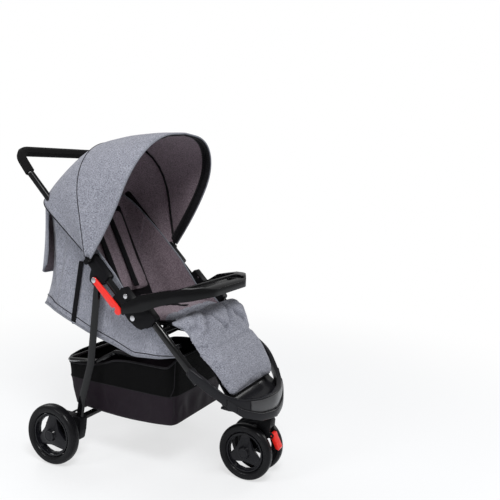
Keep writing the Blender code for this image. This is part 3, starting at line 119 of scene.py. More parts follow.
def smooth_all_over(obj):
    pick(obj)
    bpy.ops.object.shade_smooth()


def solid_copy(name, node):
    """A copy of a CAD solid under a name of its own."""
    obj = bpy.data.objects.new(name, nodes[node].data.copy())
    bpy.context.scene.collection.objects.link(obj)
    return obj


def both(*names):
    """The names of mirrored nodes, the left one of each pair first."""
    return tuple(name + "_" + side for name in names for side in ("left", "right"))


def add_node(tree, kind, inputs=(), **settings):
    """A shader node. Each input is a value or another node's output."""
    made = tree.nodes.new(kind)
    for setting, value in settings.items():
        setattr(made, setting, value)
    for socket, value in dict(inputs).items():
        if isinstance(value, bpy.types.NodeSocket):
            tree.links.new(value, made.inputs[socket])
        else:
            made.inputs[socket].default_value = value
    return made


def math_node(tree, operation, first, second):
    return add_node(tree, "ShaderNodeMath", {0: first, 1: second}, operation=operation).outputs[0]


def paint(obj, *materials):
    obj.data.materials.clear()
    for material in materials:
        obj.data.materials.append(material)
    return obj


def place(obj, body, slot, *replaced):
    """The piece rides on a body and hides the CAD nodes that it stands for. The slot is not used.
    """
    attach(obj, body)
    if replaced:
        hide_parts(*replaced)
    return obj


# %% [markdown]
# The camera stands where the photograph was taken, a little above the seat.
# Its roll is slight, so its matrix is written from the three directions themselves.

# %% Camera
CAMERA_PLACE = (-1.735, -1.197, 0.965)
CAMERA_AZIMUTH = math.radians(-63.26)
CAMERA_ELEVATION = math.radians(7.37)
CAMERA_ROLL = math.radians(1.708)
CAMERA_LENS = 46.19


def add_camera():
    a, e, r = CAMERA_AZIMUTH, CAMERA_ELEVATION, CAMERA_ROLL
    back = Vector((math.sin(a) * math.cos(e), -math.cos(a) * math.cos(e), math.sin(e)))
    level = Vector((math.cos(a), math.sin(a), 0.0))
    above = back.cross(level)
    right = level * math.cos(r) + above * math.sin(r)
    up = above * math.cos(r) - level * math.sin(r)
    bpy.ops.object.camera_add(location=(0, 0, 0))
    camera = bpy.context.object
    turn = Matrix((right, up, back)).transposed().to_4x4()
    camera.matrix_world = Matrix.Translation(CAMERA_PLACE) @ turn
    camera.data.lens = CAMERA_LENS
    bpy.context.scene.camera = camera


add_camera()
print("camera lens:", CAMERA_LENS, "mm")

# %% [markdown]
# The studio is a pale floor, a white surround and four soft lamps.
# The surround is white only to the eye.
# Its light on the object is weaker, so that colours render about as written.

# %% Studio
WHITE = (1.0, 1.0, 1.0, 1.0)
FLOOR_SIZE, FLOOR_ROUGHNESS = 14.0, 0.32
FLOOR_TONE = (0.90, 0.92, 0.95)
FLOOR_GLOW = 0.62               # share of plain white that the camera sees in the floor
GLOW_FROM, GLOW_FULL = 0.9, 2.4 # distances over which that share rises to all of it
AMBIENT = 0.36                  # strength of the surround's light on the object
# A lamp has a name, a place, a size in metres and a power.
LAMPS = [("key", (-1.7, -1.5, 3.1), 1.1, 80.0), ("side", (-2.6, 1.0, 1.9), 0.9, 24.0),
         ("fill", (2.6, -1.6, 1.7), 1.3, 24.0), ("back", (0.8, 2.8, 2.4), 1.5, 34.0)]
LAMP_AIM = Vector((0.0, 0.0, 0.5))


def add_floor():
    bpy.ops.mesh.primitive_plane_add(size=FLOOR_SIZE)
    floor = bpy.context.object
    floor.name = "studio_floor"
    look = bpy.data.materials.new("studio_floor")
    look.use_nodes = True
    tree = look.node_tree
    shader = tree.nodes["Principled BSDF"]
    shader.inputs["Base Color"].default_value = (*FLOOR_TONE, 1.0)
    shader.inputs["Roughness"].default_value = FLOOR_ROUGHNESS
    glow = add_node(tree, "ShaderNodeEmission", {"Color": WHITE})
    seen = add_node(tree, "ShaderNodeLightPath").outputs["Is Camera Ray"]
    where = add_node(tree, "ShaderNodeTexCoord").outputs["Object"]
    away = add_node(tree, "ShaderNodeVectorMath", {0: where}, operation="LENGTH")
    rise = add_node(tree, "ShaderNodeMapRange",
                    {"Value": away.outputs["Value"], "From Min": GLOW_FROM,
                     "From Max": GLOW_FULL, "To Min": FLOOR_GLOW, "To Max": 1.0},
                    interpolation_type="SMOOTHSTEP")
    share = math_node(tree, "MULTIPLY", seen, rise.outputs["Result"])
    mix = add_node(tree, "ShaderNodeMixShader",
                   {"Fac": share, 1: shader.outputs[0], 2: glow.outputs[0]})
    tree.links.new(mix.outputs[0], tree.nodes["Material Output"].inputs["Surface"])
    paint(floor, look)


def add_lamps():
    for name, spot, size, power in LAMPS:
        bpy.ops.object.light_add(type="AREA", location=spot)
        lamp = bpy.context.object
        lamp.name = "lamp_" + name
        lamp.data.size = size
        lamp.data.energy = power
        aim = LAMP_AIM - Vector(spot)
        lamp.rotation_euler = aim.to_track_quat("-Z", "Y").to_euler()


def add_surround():
    world = bpy.data.worlds.new("surround")
    bpy.context.scene.world = world
    world.use_nodes = True
    tree = world.node_tree
    light = tree.nodes["Background"]
    light.inputs["Color"].default_value = WHITE
    light.inputs["Strength"].default_value = AMBIENT
    seen = add_node(tree, "ShaderNodeBackground", {"Color": WHITE})
    path = add_node(tree, "ShaderNodeLightPath")
    to_the_eye = math_node(tree, "MAXIMUM", path.outputs["Is Camera Ray"],
                           path.outputs["Is Transmission Ray"])
    mix = add_node(tree, "ShaderNodeMixShader",
                   {"Fac": to_the_eye, 1: light.outputs[0], 2: seen.outputs[0]})
    tree.links.new(mix.outputs[0], tree.nodes["World Output"].inputs["Surface"])


add_floor()
add_lamps()
add_surround()
bpy.context.scene.view_settings.view_transform = "Standard"
print("lamps:", len(LAMPS))

# %% [markdown]
# Effects that several finishes share are node groups.
# Each group reads the piece's own coordinates, in metres, so threads keep their real size.
# A group puts out a colour and a height, and the shader stays in the material.

# %% Node groups
def new_group(name, inputs, outputs):
    """An empty shader group, from its sockets' names and kinds."""
    group = bpy.data.node_groups.new(name, "ShaderNodeTree")
    for in_out, sockets in (("INPUT", inputs), ("OUTPUT", outputs)):
        for socket, kind in sockets.items():
            group.interface.new_socket(socket, in_out=in_out, socket_type=kind)
    given, made = group.nodes.new("NodeGroupInput"), group.nodes.new("NodeGroupOutput")
    return group, given.outputs, made.inputs


def put_out(group, made, **values):
    for socket, value in values.items():
        group.links.new(value, made[socket])


def stretched(group, stretch):
    """The piece's own coordinates, drawn out so that spots become threads."""
    where = add_node(group, "ShaderNodeTexCoord").outputs["Object"]
    return add_node(group, "ShaderNodeMapping",
                    {"Vector": where, "Scale": stretch}).outputs["Vector"]


def speckle(group, stretch, scale, detail=2.0):
    return add_node(group, "ShaderNodeTexNoise",
                    {"Vector": stretched(group, stretch), "Scale": scale,
                     "Detail": detail}).outputs["Fac"]


def swing(group, spots, amount):
    """Spots that lie between 0 and 1, made to swing round 0 by an amount."""
    return math_node(group, "MULTIPLY", math_node(group, "SUBTRACT", spots, 0.5), amount)


def blend_colours(group, share, first, second):
    return add_node(group, "ShaderNodeMix", {"Factor": share, 6: first, 7: second},
                    data_type="RGBA").outputs[2]


COLOUR, NUMBER = "NodeSocketColor", "NodeSocketFloat"
EVEN = (1.0, 1.0, 1.0)          # coordinates as they are

# %% Heather cloth
THREAD_DRAW = 0.22              # how much closer spots lie along a thread's length
YARN_EDGES = (0.40, 0.60)       # between these values dark yarn turns to light
MOTTLE_SPOTS = {"scale": 38.0, "detail": 3.0}


def heather_group():
    """Light and dark yarns that cross, with broad mottling over them."""
    group, given, made = new_group(
        "heather_cloth",
        {"Light": COLOUR, "Dark": COLOUR, "Yarn Scale": NUMBER, "Mottle": NUMBER},
        {"Color": COLOUR, "Height": NUMBER})
    across = speckle(group, (1.0, 1.0, THREAD_DRAW), given["Yarn Scale"])
    along = speckle(group, (THREAD_DRAW, THREAD_DRAW, 1.0), given["Yarn Scale"])
    yarn = math_node(group, "MULTIPLY", math_node(group, "ADD", across, along), 0.5)
    sharp = add_node(group, "ShaderNodeMapRange",
                     {"Value": yarn, "From Min": YARN_EDGES[0], "From Max": YARN_EDGES[1]})
    uneven = swing(group, speckle(group, EVEN, **MOTTLE_SPOTS), given["Mottle"])
    share = math_node(group, "ADD", sharp.outputs["Result"], uneven)
    colour = blend_colours(group, share, given["Dark"], given["Light"])
    put_out(group, made, Color=colour, Height=yarn)
    return group


HEATHER = heather_group()

# %% Moulded skin
DUST_SPOTS = {"scale": 17.0, "detail": 5.0}


def moulded_group():
    """A moulded skin: fine grain, with rubbed and dusty patches."""
    group, given, made = new_group(
        "moulded_skin",
        {"Color": COLOUR, "Dust": COLOUR, "Grain Scale": NUMBER, "Roughness": NUMBER,
         "Unevenness": NUMBER, "Dust Share": NUMBER},
        {"Color": COLOUR, "Roughness": NUMBER, "Height": NUMBER})
    grain = speckle(group, EVEN, given["Grain Scale"])
    patches = speckle(group, EVEN, **DUST_SPOTS)
    rubbed = swing(group, patches, given["Unevenness"])
    rough = math_node(group, "ADD", given["Roughness"], rubbed)
    settled = math_node(group, "MULTIPLY", patches, given["Dust Share"])
    colour = blend_colours(group, settled, given["Color"], given["Dust"])
    put_out(group, made, Color=colour, Roughness=rough, Height=grain)
    return group


MOULDED = moulded_group()

# %% Ribbed weave
RIB_WANDER = 0.4                # how far the ribs stray from straight


def rib_group():
    """Slanting ribs, as on webbing, knitted mesh and foam."""
    group, given, made = new_group(
        "ribbed_weave", {"Color": COLOUR, "Gap Color": COLOUR, "Rib Scale": NUMBER},
        {"Color": COLOUR, "Height": NUMBER})
    waves = [add_node(group, "ShaderNodeTexWave",
                      {"Vector": stretched(group, stretch), "Distortion": RIB_WANDER,
                       "Scale": given["Rib Scale"]},
                      bands_direction="DIAGONAL").outputs["Fac"]
             for stretch in (EVEN, (-1.0, -1.0, 1.0))]
    crossed = math_node(group, "MULTIPLY", *waves)
    colour = blend_colours(group, crossed, given["Gap Color"], given["Color"])
    put_out(group, made, Color=colour, Height=crossed)
    return group


RIBBED = rib_group()
print("node groups:", len(bpy.data.node_groups))

# %% [markdown]
# A finish is one material: a shared group feeds a plain shader.
# Numbers that are the same all over, such as sheen, are set on the shader itself.

# %% Finishes
WEAVE_HEIGHT, GRAIN_HEIGHT = 0.0006, 0.0003
PALE_LIFT, PALE_GAIN = 0.03, 1.1   # how much paler than a moulding its dust is
MOTTLE, RUBBING = 0.3, 0.12     # how much a cloth's tone and a moulding's roughness vary
CLOTH_MIRROR, CLOTH_SHEEN_ROUGH, RIB_MIRROR, RIB_SHEEN = 0.1, 0.5, 0.08, 0.01


def finish(name, group, values, bump, distance, **settings):
    """A material whose colour, roughness and height come from a group."""
    look = bpy.data.materials.new(name)
    look.use_nodes = True
    tree = look.node_tree
    shader = tree.nodes["Principled BSDF"]
    effect = add_node(tree, "ShaderNodeGroup", values, node_tree=group)
    tree.links.new(effect.outputs["Color"], shader.inputs["Base Color"])
    if "Roughness" in effect.outputs:
        tree.links.new(effect.outputs["Roughness"], shader.inputs["Roughness"])
    raised = add_node(tree, "ShaderNodeBump", {"Strength": bump, "Distance": distance,
                                               "Height": effect.outputs["Height"]})
    tree.links.new(raised.outputs["Normal"], shader.inputs["Normal"])
    for socket, value in settings.items():
        shader.inputs[socket.replace("_", " ")].default_value = value
    return look


def cloth(name, light, dark, yarn, rough=0.9, sheen=0.12, bump=0.5):
    values = {"Light": (*light, 1), "Dark": (*dark, 1), "Yarn Scale": yarn, "Mottle": MOTTLE}
    return finish(name, HEATHER, values, bump, WEAVE_HEIGHT, Roughness=rough,
                  Sheen_Weight=sheen, Sheen_Roughness=CLOTH_SHEEN_ROUGH,
                  Specular_IOR_Level=CLOTH_MIRROR)


def moulded(name, colour, rough, dust, bump, mirror=0.5, coat=(0.0, 0.0), grain=1800.0,
            metal=0.0):
    """The coat is clear and has a weight and a roughness. Dust is a paler tone."""
    pale = tuple(min(1.0, PALE_LIFT + c * PALE_GAIN) for c in colour)
    values = {"Color": (*colour, 1), "Dust": (*pale, 1), "Grain Scale": grain,
              "Roughness": rough, "Unevenness": RUBBING, "Dust Share": dust}
    return finish(name, MOULDED, values, bump, GRAIN_HEIGHT, Specular_IOR_Level=mirror,
                  Coat_Weight=coat[0], Coat_Roughness=coat[1], Metallic=metal)


def ribbed(name, colour, gap, scale, rough=0.8, bump=0.6):
    values = {"Color": (*colour, 1), "Gap Color": (*gap, 1), "Rib Scale": scale}
    return finish(name, RIBBED, values, bump, WEAVE_HEIGHT, Roughness=rough,
                  Sheen_Weight=RIB_SHEEN, Specular_IOR_Level=RIB_MIRROR)


# %% Cloth finishes
GREY_CLOTH = cloth("grey_heather", (0.358, 0.368, 0.418), (0.112, 0.116, 0.146), yarn=900.0)
LINING = cloth("dark_lining", (0.320, 0.255, 0.292), (0.105, 0.080, 0.095), yarn=900.0)
NYLON = cloth("dark_nylon", (0.017, 0.011, 0.017), (0.008, 0.005, 0.008), yarn=1200.0,
              rough=0.55, sheen=0.02, bump=0.25)
MESH_CLOTH = ribbed("black_mesh", (0.004, 0.004, 0.005), (0.001, 0.001, 0.001), 420.0)
BINDING = cloth("black_binding", (0.014, 0.013, 0.016), (0.006, 0.006, 0.007), yarn=1400.0,
                sheen=0.10)
GREY_BINDING = cloth("grey_binding", (0.24, 0.25, 0.285), (0.13, 0.135, 0.16), yarn=1100.0)
WEBBING = ribbed("black_webbing", (0.012, 0.012, 0.014), (0.003, 0.003, 0.004), 330.0)
FOAM = ribbed("foam_grip", (0.013, 0.012, 0.013), (0.006, 0.006, 0.006), 900.0, 0.92, 0.35)

# %% Hard finishes
TUBE_PAINT = moulded("gloss_black_tube", (0.003, 0.003, 0.0035), 0.22, dust=0.01, bump=0.02,
                     mirror=0.05, coat=(0.55, 0.04))
PLASTIC = moulded("matt_black_plastic", (0.006, 0.006, 0.007), 0.36, dust=0.03, bump=0.20,
                  mirror=0.07)
GLOSS_PLASTIC = moulded("satin_black_plastic", (0.003, 0.003, 0.0035), 0.22, dust=0.01,
                        bump=0.03, mirror=0.03, coat=(0.32, 0.04))
BEAM_PLASTIC = moulded("dark_beam_plastic", (0.010, 0.010, 0.012), 0.30, dust=0.02, bump=0.1,
                       mirror=0.08, coat=(0.20, 0.08))
PANEL_PLASTIC = moulded("grey_panel_plastic", (0.052, 0.052, 0.054), 0.30, dust=0.02,
                        bump=0.05, mirror=0.2, coat=(0.3, 0.08))
TYRE = moulded("foam_tyre", (0.006, 0.006, 0.007), 0.40, dust=0.03, bump=0.25, mirror=0.08,
               coat=(0.12, 0.15), grain=900.0)
RIM_PLASTIC = moulded("rim_plastic", (0.006, 0.006, 0.008), 0.28, dust=0.02, bump=0.08,
                      mirror=0.08, coat=(0.25, 0.06))
RED = moulded("red_plastic", (0.80, 0.020, 0.012), 0.34, dust=0.02, bump=0.06)
STEEL = moulded("bright_steel", (0.62, 0.62, 0.64), 0.24, dust=0.05, bump=0.03, metal=1.0)
print("finishes:", len(bpy.data.materials))

# %% [markdown]
# The hard parts keep the shapes of the CAD model.
# A real moulding has no knife edges, and light catches the small radius along them.
# A copy of each solid is therefore welded, its edges are rounded and its faces smoothed.

# %% Hard parts
WELD = 0.00001                  # points closer than this become one
FLAT_ANGLE = math.radians(0.5)  # faces that meet at less than this become one
SHARP = 38.0                    # degrees, over which an edge is rounded and stays an edge


def refined(node, body, slot, look, radius):
    """A copy of a CAD solid with welded points, rounded edges and smooth faces."""
    obj = solid_copy(node + "_finish", node)
    with editing(obj):
        bpy.ops.mesh.remove_doubles(threshold=WELD)
        bpy.ops.mesh.dissolve_limited(angle_limit=FLAT_ANGLE)
    if radius:
        round_edges(obj, radius, 2, SHARP)
    smooth_by_angle(obj, SHARP)
    return place(paint(obj, look), body, slot, node)


# Each row is a body, a slot, a finish, an edge radius and the nodes that share them.
HARD_PARTS = [
    ("frame", "tube", TUBE_PAINT, 0.0006, both("front_tube") + ("seat_bar",)),
    ("frame", "plastic", PLASTIC, 0.0008, both("hinge_housing") + ("seat_board", "calf_board")),
    ("frame", "plastic", BEAM_PLASTIC, 0.0010, ("nose",)),
    ("frame", "steel", STEEL, 0.0004, both("fold_pin")),
    ("handle", "tube", TUBE_PAINT, 0.0, ("handle_tube",)),
    ("handle", "plastic", PLASTIC, 0.0008, both("handle_sleeve", "upper_bracket")),
    ("handle", "steel", STEEL, 0.0004, both("sleeve_rivet", "leg_pin")),
    ("rear_legs", "tube", TUBE_PAINT, 0.0, both("rear_leg") + ("rear_cross_tube",)),
    ("rear_legs", "plastic", PLASTIC, 0.0008, both("rear_bracket")),
    *[(wheel, "plastic", RIM_PLASTIC, 0.0008, (wheel.replace("wheel", "rim"),))
      for wheel in both("rear_wheel", "front_wheel")],
    ("brake", "tube", TUBE_PAINT, 0.0, ("brake_rod",)),
    ("brake", "red", RED, 0.0008, both("brake_pedal")),
    ("lower_link", "tube", TUBE_PAINT, 0.0, ("seat_link",)),
    ("latch", "red", RED, 0.0006, ("fold_latch",)),
    ("canopy_front", "plastic", PLASTIC, 0.0, ("canopy_front_bow",)),
    ("canopy_mid", "plastic", PLASTIC, 0.0, ("canopy_mid_bow",)),
    ("backrest", "plastic", PLASTIC, 0.0008, ("back_board",)),
    ("caster", "plastic", PLASTIC, 0.0010, ("caster_fork",)),
    ("caster", "steel", STEEL, 0.0003, ("caster_stem", "front_axle")),
    ("caster_lock", "red", RED, 0.0006, ("swivel_lock",)),
    ("tray", "plastic", GLOSS_PLASTIC, 0.0012, ("child_tray",)),
]

for body, slot, look, radius, names in HARD_PARTS:
    for name in names:
        refined(name, body, slot, look, radius)
print("hard parts:", sum(len(row[-1]) for row in HARD_PARTS))

# %% [markdown]
# Cloth is drawn as a grid of points that follows the real panels.
# The grid keeps a UV map, so seams and folds can follow the surface.
# Solidify then gives it its thickness, with the lining as a second material.

# %% Cloth helpers
CLOTH_T = 0.002
CORD_SIDES = 3                  # how finely a cord's round section is divided


def cloth_grid(name, rows):
    """A grid primitive whose points are moved to rows of places."""
    across, down = len(rows[0]), len(rows)
    bpy.ops.mesh.primitive_grid_add(x_subdivisions=across - 1, y_subdivisions=down - 1)
    obj = bpy.context.object
    obj.name = name
    places = np.array([p for row in rows for p in row], float)
    obj.data.vertices.foreach_set("co", places.ravel())
    obj.data.update()
    return obj


def bent(obj, first, second, start, end, slot, *replaced):
    """Bakes the piece's place into its mesh and hides the CAD nodes that it stands for. The two
    bodies, the two places and the slot are not used.
    """
    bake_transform(obj)
    if replaced:
        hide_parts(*replaced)
    return obj


def flat_size(name, rows):
    """Prints how wide and long a grid's cloth is when it lies flat, and its area."""
    grid = np.array(rows, float)
    across = np.linalg.norm(np.diff(grid, axis=1), axis=2)
    down = np.linalg.norm(np.diff(grid, axis=0), axis=2)
    a, b = np.diff(grid, axis=1)[:-1], np.diff(grid, axis=0)[:, :-1]
    area = np.linalg.norm(np.cross(a, b), axis=2).sum()
    print(name, "flat", round(across.sum(1).max(), 3), round(down.sum(0).max(), 3), round(area, 4))


def thick_cloth(name, rows, outer, inner, edge, thickness=CLOTH_T, flip=False):
    """Closed cloth with one finish outside, one inside and one on its cut edge."""
    obj = cloth_grid(name, rows)
    if flip:
        with editing(obj):
            bpy.ops.mesh.flip_normals()
    paint(obj, outer, inner, edge)
    solid = obj.modifiers.new("thickness", "SOLIDIFY")
    solid.thickness = thickness
    solid.offset = 0.0
    solid.material_offset = 1
    solid.material_offset_rim = 2
    keep_modifiers(obj)
    smooth_all_over(obj)
    return obj


def piping(name, points, radius, look, closed=False):
    """A round cord sewn into a seam."""
    curve = bpy.data.curves.new(name, "CURVE")
    curve.dimensions = "3D"
    curve.bevel_depth = radius
    curve.bevel_resolution = CORD_SIDES
    curve.use_fill_caps = True
    spline = curve.splines.new("POLY")
    spline.points.add(len(points) - 1)
    for slot, point in zip(spline.points, points):
        slot.co = (*point, 1.0)
    spline.use_cyclic_u = closed
    obj = bpy.data.objects.new(name, curve)
    bpy.context.scene.collection.objects.link(obj)
    pick(obj)
    bpy.ops.object.convert(target="MESH")
    obj = bpy.context.object
    smooth_all_over(obj)
    return paint(obj, look)


def resampled(points, count):
    """The same line as evenly spaced points."""
    points = np.array(points, float)
    steps = np.linalg.norm(np.diff(points, axis=0), axis=1)
    length = np.concatenate(([0.0], np.cumsum(steps)))
    at = np.linspace(0.0, length[-1], count)
    return np.stack([np.interp(at, length, points[:, k]) for k in range(points.shape[1])], 1)


def softly(points, count, strength=2):
    """Evenly spaced points on a line whose corners are rounded off."""
    points = resampled(points, count)
    for _ in range(strength):
        inner = (points[:-2] + 2 * points[1:-1] + points[2:]) / 4
        points = np.concatenate((points[:1], inner, points[-1:]))
    return points


# %% [markdown]
# The curved beam at the front is a smooth moulding round the footwell.
# Its stations give the half width, the depth and the heights of its two edges.
# Three bands follow them: the wall, a lip along its foot and a grey panel between.

# %% Nose beam
NOSE_STATIONS = [(0.2140, -0.246, 0.356, 0.386), (0.2120, -0.272, 0.340, 0.371),
                 (0.2060, -0.297, 0.322, 0.356), (0.1950, -0.320, 0.304, 0.336),
                 (0.1720, -0.348, 0.275, 0.308), (0.1350, -0.380, 0.240, 0.290),
                 (0.0700, -0.410, 0.214, 0.280), (0.0, -0.425, 0.207, 0.280)]
NOSE_COUNT, NOSE_ROUNDING, NOSE_LEVELS = 120, 15, 7
FOOTWELL_MIDDLE = (0.0, -0.2)
LOW, HIGH = 2, 3                # where a station holds the heights of its two edges
NOSE_FRONT_HALF, NOSE_SHARP = 0.05, 50.0
# Each band has a name, the share of the beam it leaves free at each end, how far it stands
# outside the CAD beam and bulges, its two edges as an edge of the beam and a step from it,
# its thickness, finish and edge radius, its slot and the node that it stands for.
NOSE_BANDS = [
    ("nose_wall", 0.0, 0.0028, 0.0015, (LOW, -0.001), (HIGH, 0.001), 0.013, BEAM_PLASTIC,
     0.0030, "plastic"),
    ("nose_lip", 0.27, 0.0116, 0.0010, (LOW, -0.0006), (LOW, 0.0240), 0.010, BEAM_PLASTIC,
     0.0035, "plastic"),
    ("nose_grey_panel", 0.345, 0.0052, 0.0028, (LOW, 0.0236), (HIGH, -0.0030), 0.004,
     PANEL_PLASTIC, 0.0010, "panel", "nose_panel")]


def nose_line():
    half = [np.array(p) for p in NOSE_STATIONS]
    line = half + [p * (-1, 1, 1, 1) for p in reversed(half[:-1])]
    return softly(line, NOSE_COUNT, NOSE_ROUNDING)


def nose_band(name, first, offset, bulge, lower, upper, thick, look, radius, slot, *replaced):
    """A closed band along the beam, from a share of its length to the same share back."""
    line = nose_line()
    tangent = np.gradient(line[:, :2], axis=0)
    out = np.stack((tangent[:, 1], -tangent[:, 0]), 1)
    out /= np.linalg.norm(out, axis=1, keepdims=True)
    out *= np.sign((out * (line[:, :2] - FOOTWELL_MIDDLE)).sum(1, keepdims=True))
    ends = int(first * NOSE_COUNT)
    rows = []
    for t in np.linspace(0.0, 1.0, NOSE_LEVELS):
        reach = offset + bulge * math.sin(math.pi * t)
        row = []
        for station, away in list(zip(line, out))[ends:NOSE_COUNT - ends]:
            low, high = station[lower[0]] + lower[1], station[upper[0]] + upper[1]
            row.append((*(station[:2] + away * reach), low + (high - low) * t))
        rows.append(row)
    obj = cloth_grid(name, rows)
    with editing(obj):
        bpy.ops.mesh.normals_make_consistent(inside=False)
    front = [f.normal.y for f in obj.data.polygons if abs(f.center.x) < NOSE_FRONT_HALF]
    solid = obj.modifiers.new("thickness", "SOLIDIFY")
    solid.thickness = thick
    solid.offset = -1.0 if sum(front) < 0 else 1.0
    round_edges(obj, radius, 3, NOSE_SHARP)
    smooth_by_angle(obj, NOSE_SHARP)
    return place(paint(obj, look), "frame", slot, *replaced)


for band in NOSE_BANDS:
    nose_band(*band)
print("beam bands:", len(NOSE_BANDS))

# %% Footwell basin
# Cross sections of the footwell's floor, from its front edge to its back.
BASIN = [(0.120, -0.395, 0.246), (0.138, -0.372, 0.256), (0.158, -0.345, 0.264),
         (0.160, -0.330, 0.272), (0.160, -0.317, 0.292)]
BASIN_COLUMNS, BASIN_T = 9, 0.003
basin_rows = [[(x * t, y, z) for t in np.linspace(-1.0, 1.0, BASIN_COLUMNS)]
              for x, y, z in BASIN]
basin = thick_cloth("footwell_basin", basin_rows, BEAM_PLASTIC, BEAM_PLASTIC, BEAM_PLASTIC,
                    BASIN_T)
place(basin, "frame", "plastic")
flat_size("basin", basin_rows)

# %% [markdown]
# The tyres are solid foam with a rounded tread and a thin raised ring on each side.
# A torus is nearly the right start: its section is squared off and grooves are cut in it.

# %% Tyres
TYRE_RING_STEPS, TYRE_SECTION_STEPS = 96, 28
REAR_TYRE = {"r": 0.098, "rim": 0.070, "width": 0.036, "x": 0.257, "axle": (0.234, 0.098)}
FRONT_TYRE = {"r": 0.089, "rim": 0.063, "width": 0.030, "x": 0.040, "axle": (-0.348, 0.089)}
SQUARENESS = 2.7                # 2 is a round section and more is a squarer one
TREAD_GROOVES = (-0.36, 0.36)   # places across the tread, as shares of its half width
GROOVE_DEPTH, GROOVE_HALF = 0.0011, 0.10
TREAD_FROM, SIDE_FROM = 0.5, 0.9   # shares of the section where tread and side walls start
SIDE_RING_AT, SIDE_RING_HALF, SIDE_RING_HEIGHT = 0.52, 0.12, 0.0009


def tyre(name, body, node, size, sign):
    middle = (size["r"] + size["rim"]) / 2
    half_r, half_x = (size["r"] - size["rim"]) / 2, size["width"] / 2
    bpy.ops.mesh.primitive_torus_add(major_segments=TYRE_RING_STEPS,
                                     minor_segments=TYRE_SECTION_STEPS,
                                     major_radius=middle, minor_radius=half_r,
                                     rotation=(0.0, math.pi / 2, 0.0))
    obj = bpy.context.object
    obj.name = name
    settle(obj)
    for vert in obj.data.vertices:
        x, y, z = vert.co
        reach = math.hypot(y, z)
        out, side = (reach - middle) / half_r, x / half_r
        angle = math.atan2(side, out)
        squared = (abs(math.cos(angle)) ** SQUARENESS
                   + abs(math.sin(angle)) ** SQUARENESS) ** (-1 / SQUARENESS)
        out, side = squared * math.cos(angle), squared * math.sin(angle)
        new_r = middle + out * half_r
        if out > TREAD_FROM:
            nearest = min(abs(side - place_across) for place_across in TREAD_GROOVES)
            new_r -= GROOVE_DEPTH * max(0.0, 1 - nearest / GROOVE_HALF)
        new_x = side * half_x
        if abs(side) > SIDE_FROM and abs(out - SIDE_RING_AT) < SIDE_RING_HALF:
            new_x += math.copysign(SIDE_RING_HEIGHT, side)
        vert.co = (new_x + sign * size["x"], y * new_r / reach + size["axle"][0],
                   z * new_r / reach + size["axle"][1])
    smooth_all_over(obj)
    return place(paint(obj, TYRE), body, "tyre", node)


for side, sign in SIDES:
    tyre("rear_tread_" + side, "rear_wheel_" + side, "rear_tyre_" + side, REAR_TYRE, sign)
    tyre("front_tread_" + side, "front_wheel_" + side, "front_tyre_" + side, FRONT_TYRE, sign)
print("tyre radii:", REAR_TYRE["r"], FRONT_TYRE["r"])

# %% [markdown]
# Each wheel's centre has a round cap that hides the end of the axle.
# It starts as a short cylinder whose end is inset three times: a rim, a step and a dish.

# %% Hub caps
CAP_SIDES, CAP_DEPTH, CAP_EDGE, CAP_OUT = 48, 0.0026, 0.0004, 0.0016
CAP_ROUND_FROM, CAP_SHARP = 30.0, 40.0
FACES_OUT = 0.9                 # the end face alone points outwards as squarely as this
CAP_RADII = (("rear", 0.0185), ("front", 0.0170))
# Each inset is a share of the radius, and the step that the face then takes outwards.
CAP_STEPS = ((0.16, 0.0008), (0.10, -0.0010), (0.30, 0.0009))


def hub_cap(name, body, radius, x, axle, out):
    bpy.ops.mesh.primitive_cylinder_add(vertices=CAP_SIDES, radius=radius, depth=CAP_DEPTH,
                                        location=(x, *axle),
                                        rotation=(0.0, out * math.pi / 2, 0.0))
    obj = bpy.context.object
    obj.name = name
    settle(obj)
    bpy.ops.object.mode_set(mode="EDIT")
    bpy.ops.mesh.select_all(action="DESELECT")
    bpy.ops.object.mode_set(mode="OBJECT")
    for face in obj.data.polygons:
        face.select = face.normal.x * out > FACES_OUT
    bpy.ops.object.mode_set(mode="EDIT")
    for inset, step in CAP_STEPS:
        bpy.ops.mesh.inset(thickness=radius * inset)
        bpy.ops.transform.translate(value=(out * step, 0.0, 0.0))
    bpy.ops.object.mode_set(mode="OBJECT")
    round_edges(obj, CAP_EDGE, 2, CAP_ROUND_FROM)
    smooth_by_angle(obj, CAP_SHARP)
    return place(paint(obj, RIM_PLASTIC), body, "plastic")


for side, sign in SIDES:
    for kind, radius in CAP_RADII:
        low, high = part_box(kind + "_rim_" + side)
        face = high.x if sign > 0 else low.x
        size = REAR_TYRE if kind == "rear" else FRONT_TYRE
        hub_cap(kind + "_cap_" + side, kind + "_wheel_" + side, radius,
                face + sign * CAP_OUT, size["axle"], sign)
print("hub caps:", len(SIDES) * len(CAP_RADII))

# %% [markdown]
# The canopy is one sheet over two bows, from its edge behind the seat to its brim.
# Each panel sinks a little between the bows, and it gathers where it meets the pivots.

# %% Canopy
CANOPY_PIVOT = (0.11039, 0.66539)
FRONT_BOW = {"angle": math.radians(115.5), "x": 0.2361, "height": 0.4391,
             "corner": (0.190, 0.190)}
MID_BOW = {"angle": math.radians(81.0), "x": 0.2451, "height": 0.3691,
           "corner": (0.190, 0.190)}
REAR_EDGE = {"angle": math.radians(39.3), "x": 0.2165, "height": 0.302,
             "corner": (0.110, 0.070)}
BOW_ROUND = 0.95
BOW_CROWN = 0.004
CLOTH_START = 0.016
ARCH_STEPS, HALF_COLUMNS = 15, 44
REAR_ROWS, FRONT_ROWS, BRIM_ROWS = 18, 22, 5
PANEL_SINK = 0.028
BRIM, BRIM_BULGE = 0.004, 0.020
GATHER_DEPTH, GATHER_FADE = 0.0022, 0.10
GATHER_WAVES = ((1.0, 23.0, 0.0), (0.6, 41.0, 1.3))   # strength, pace by angle and phase
GATHER_FROM_X = 0.15            # gathers stay on the sides, further out than this
CREASE_DEPTH, CREASE_PACE = 0.0016, 17.0


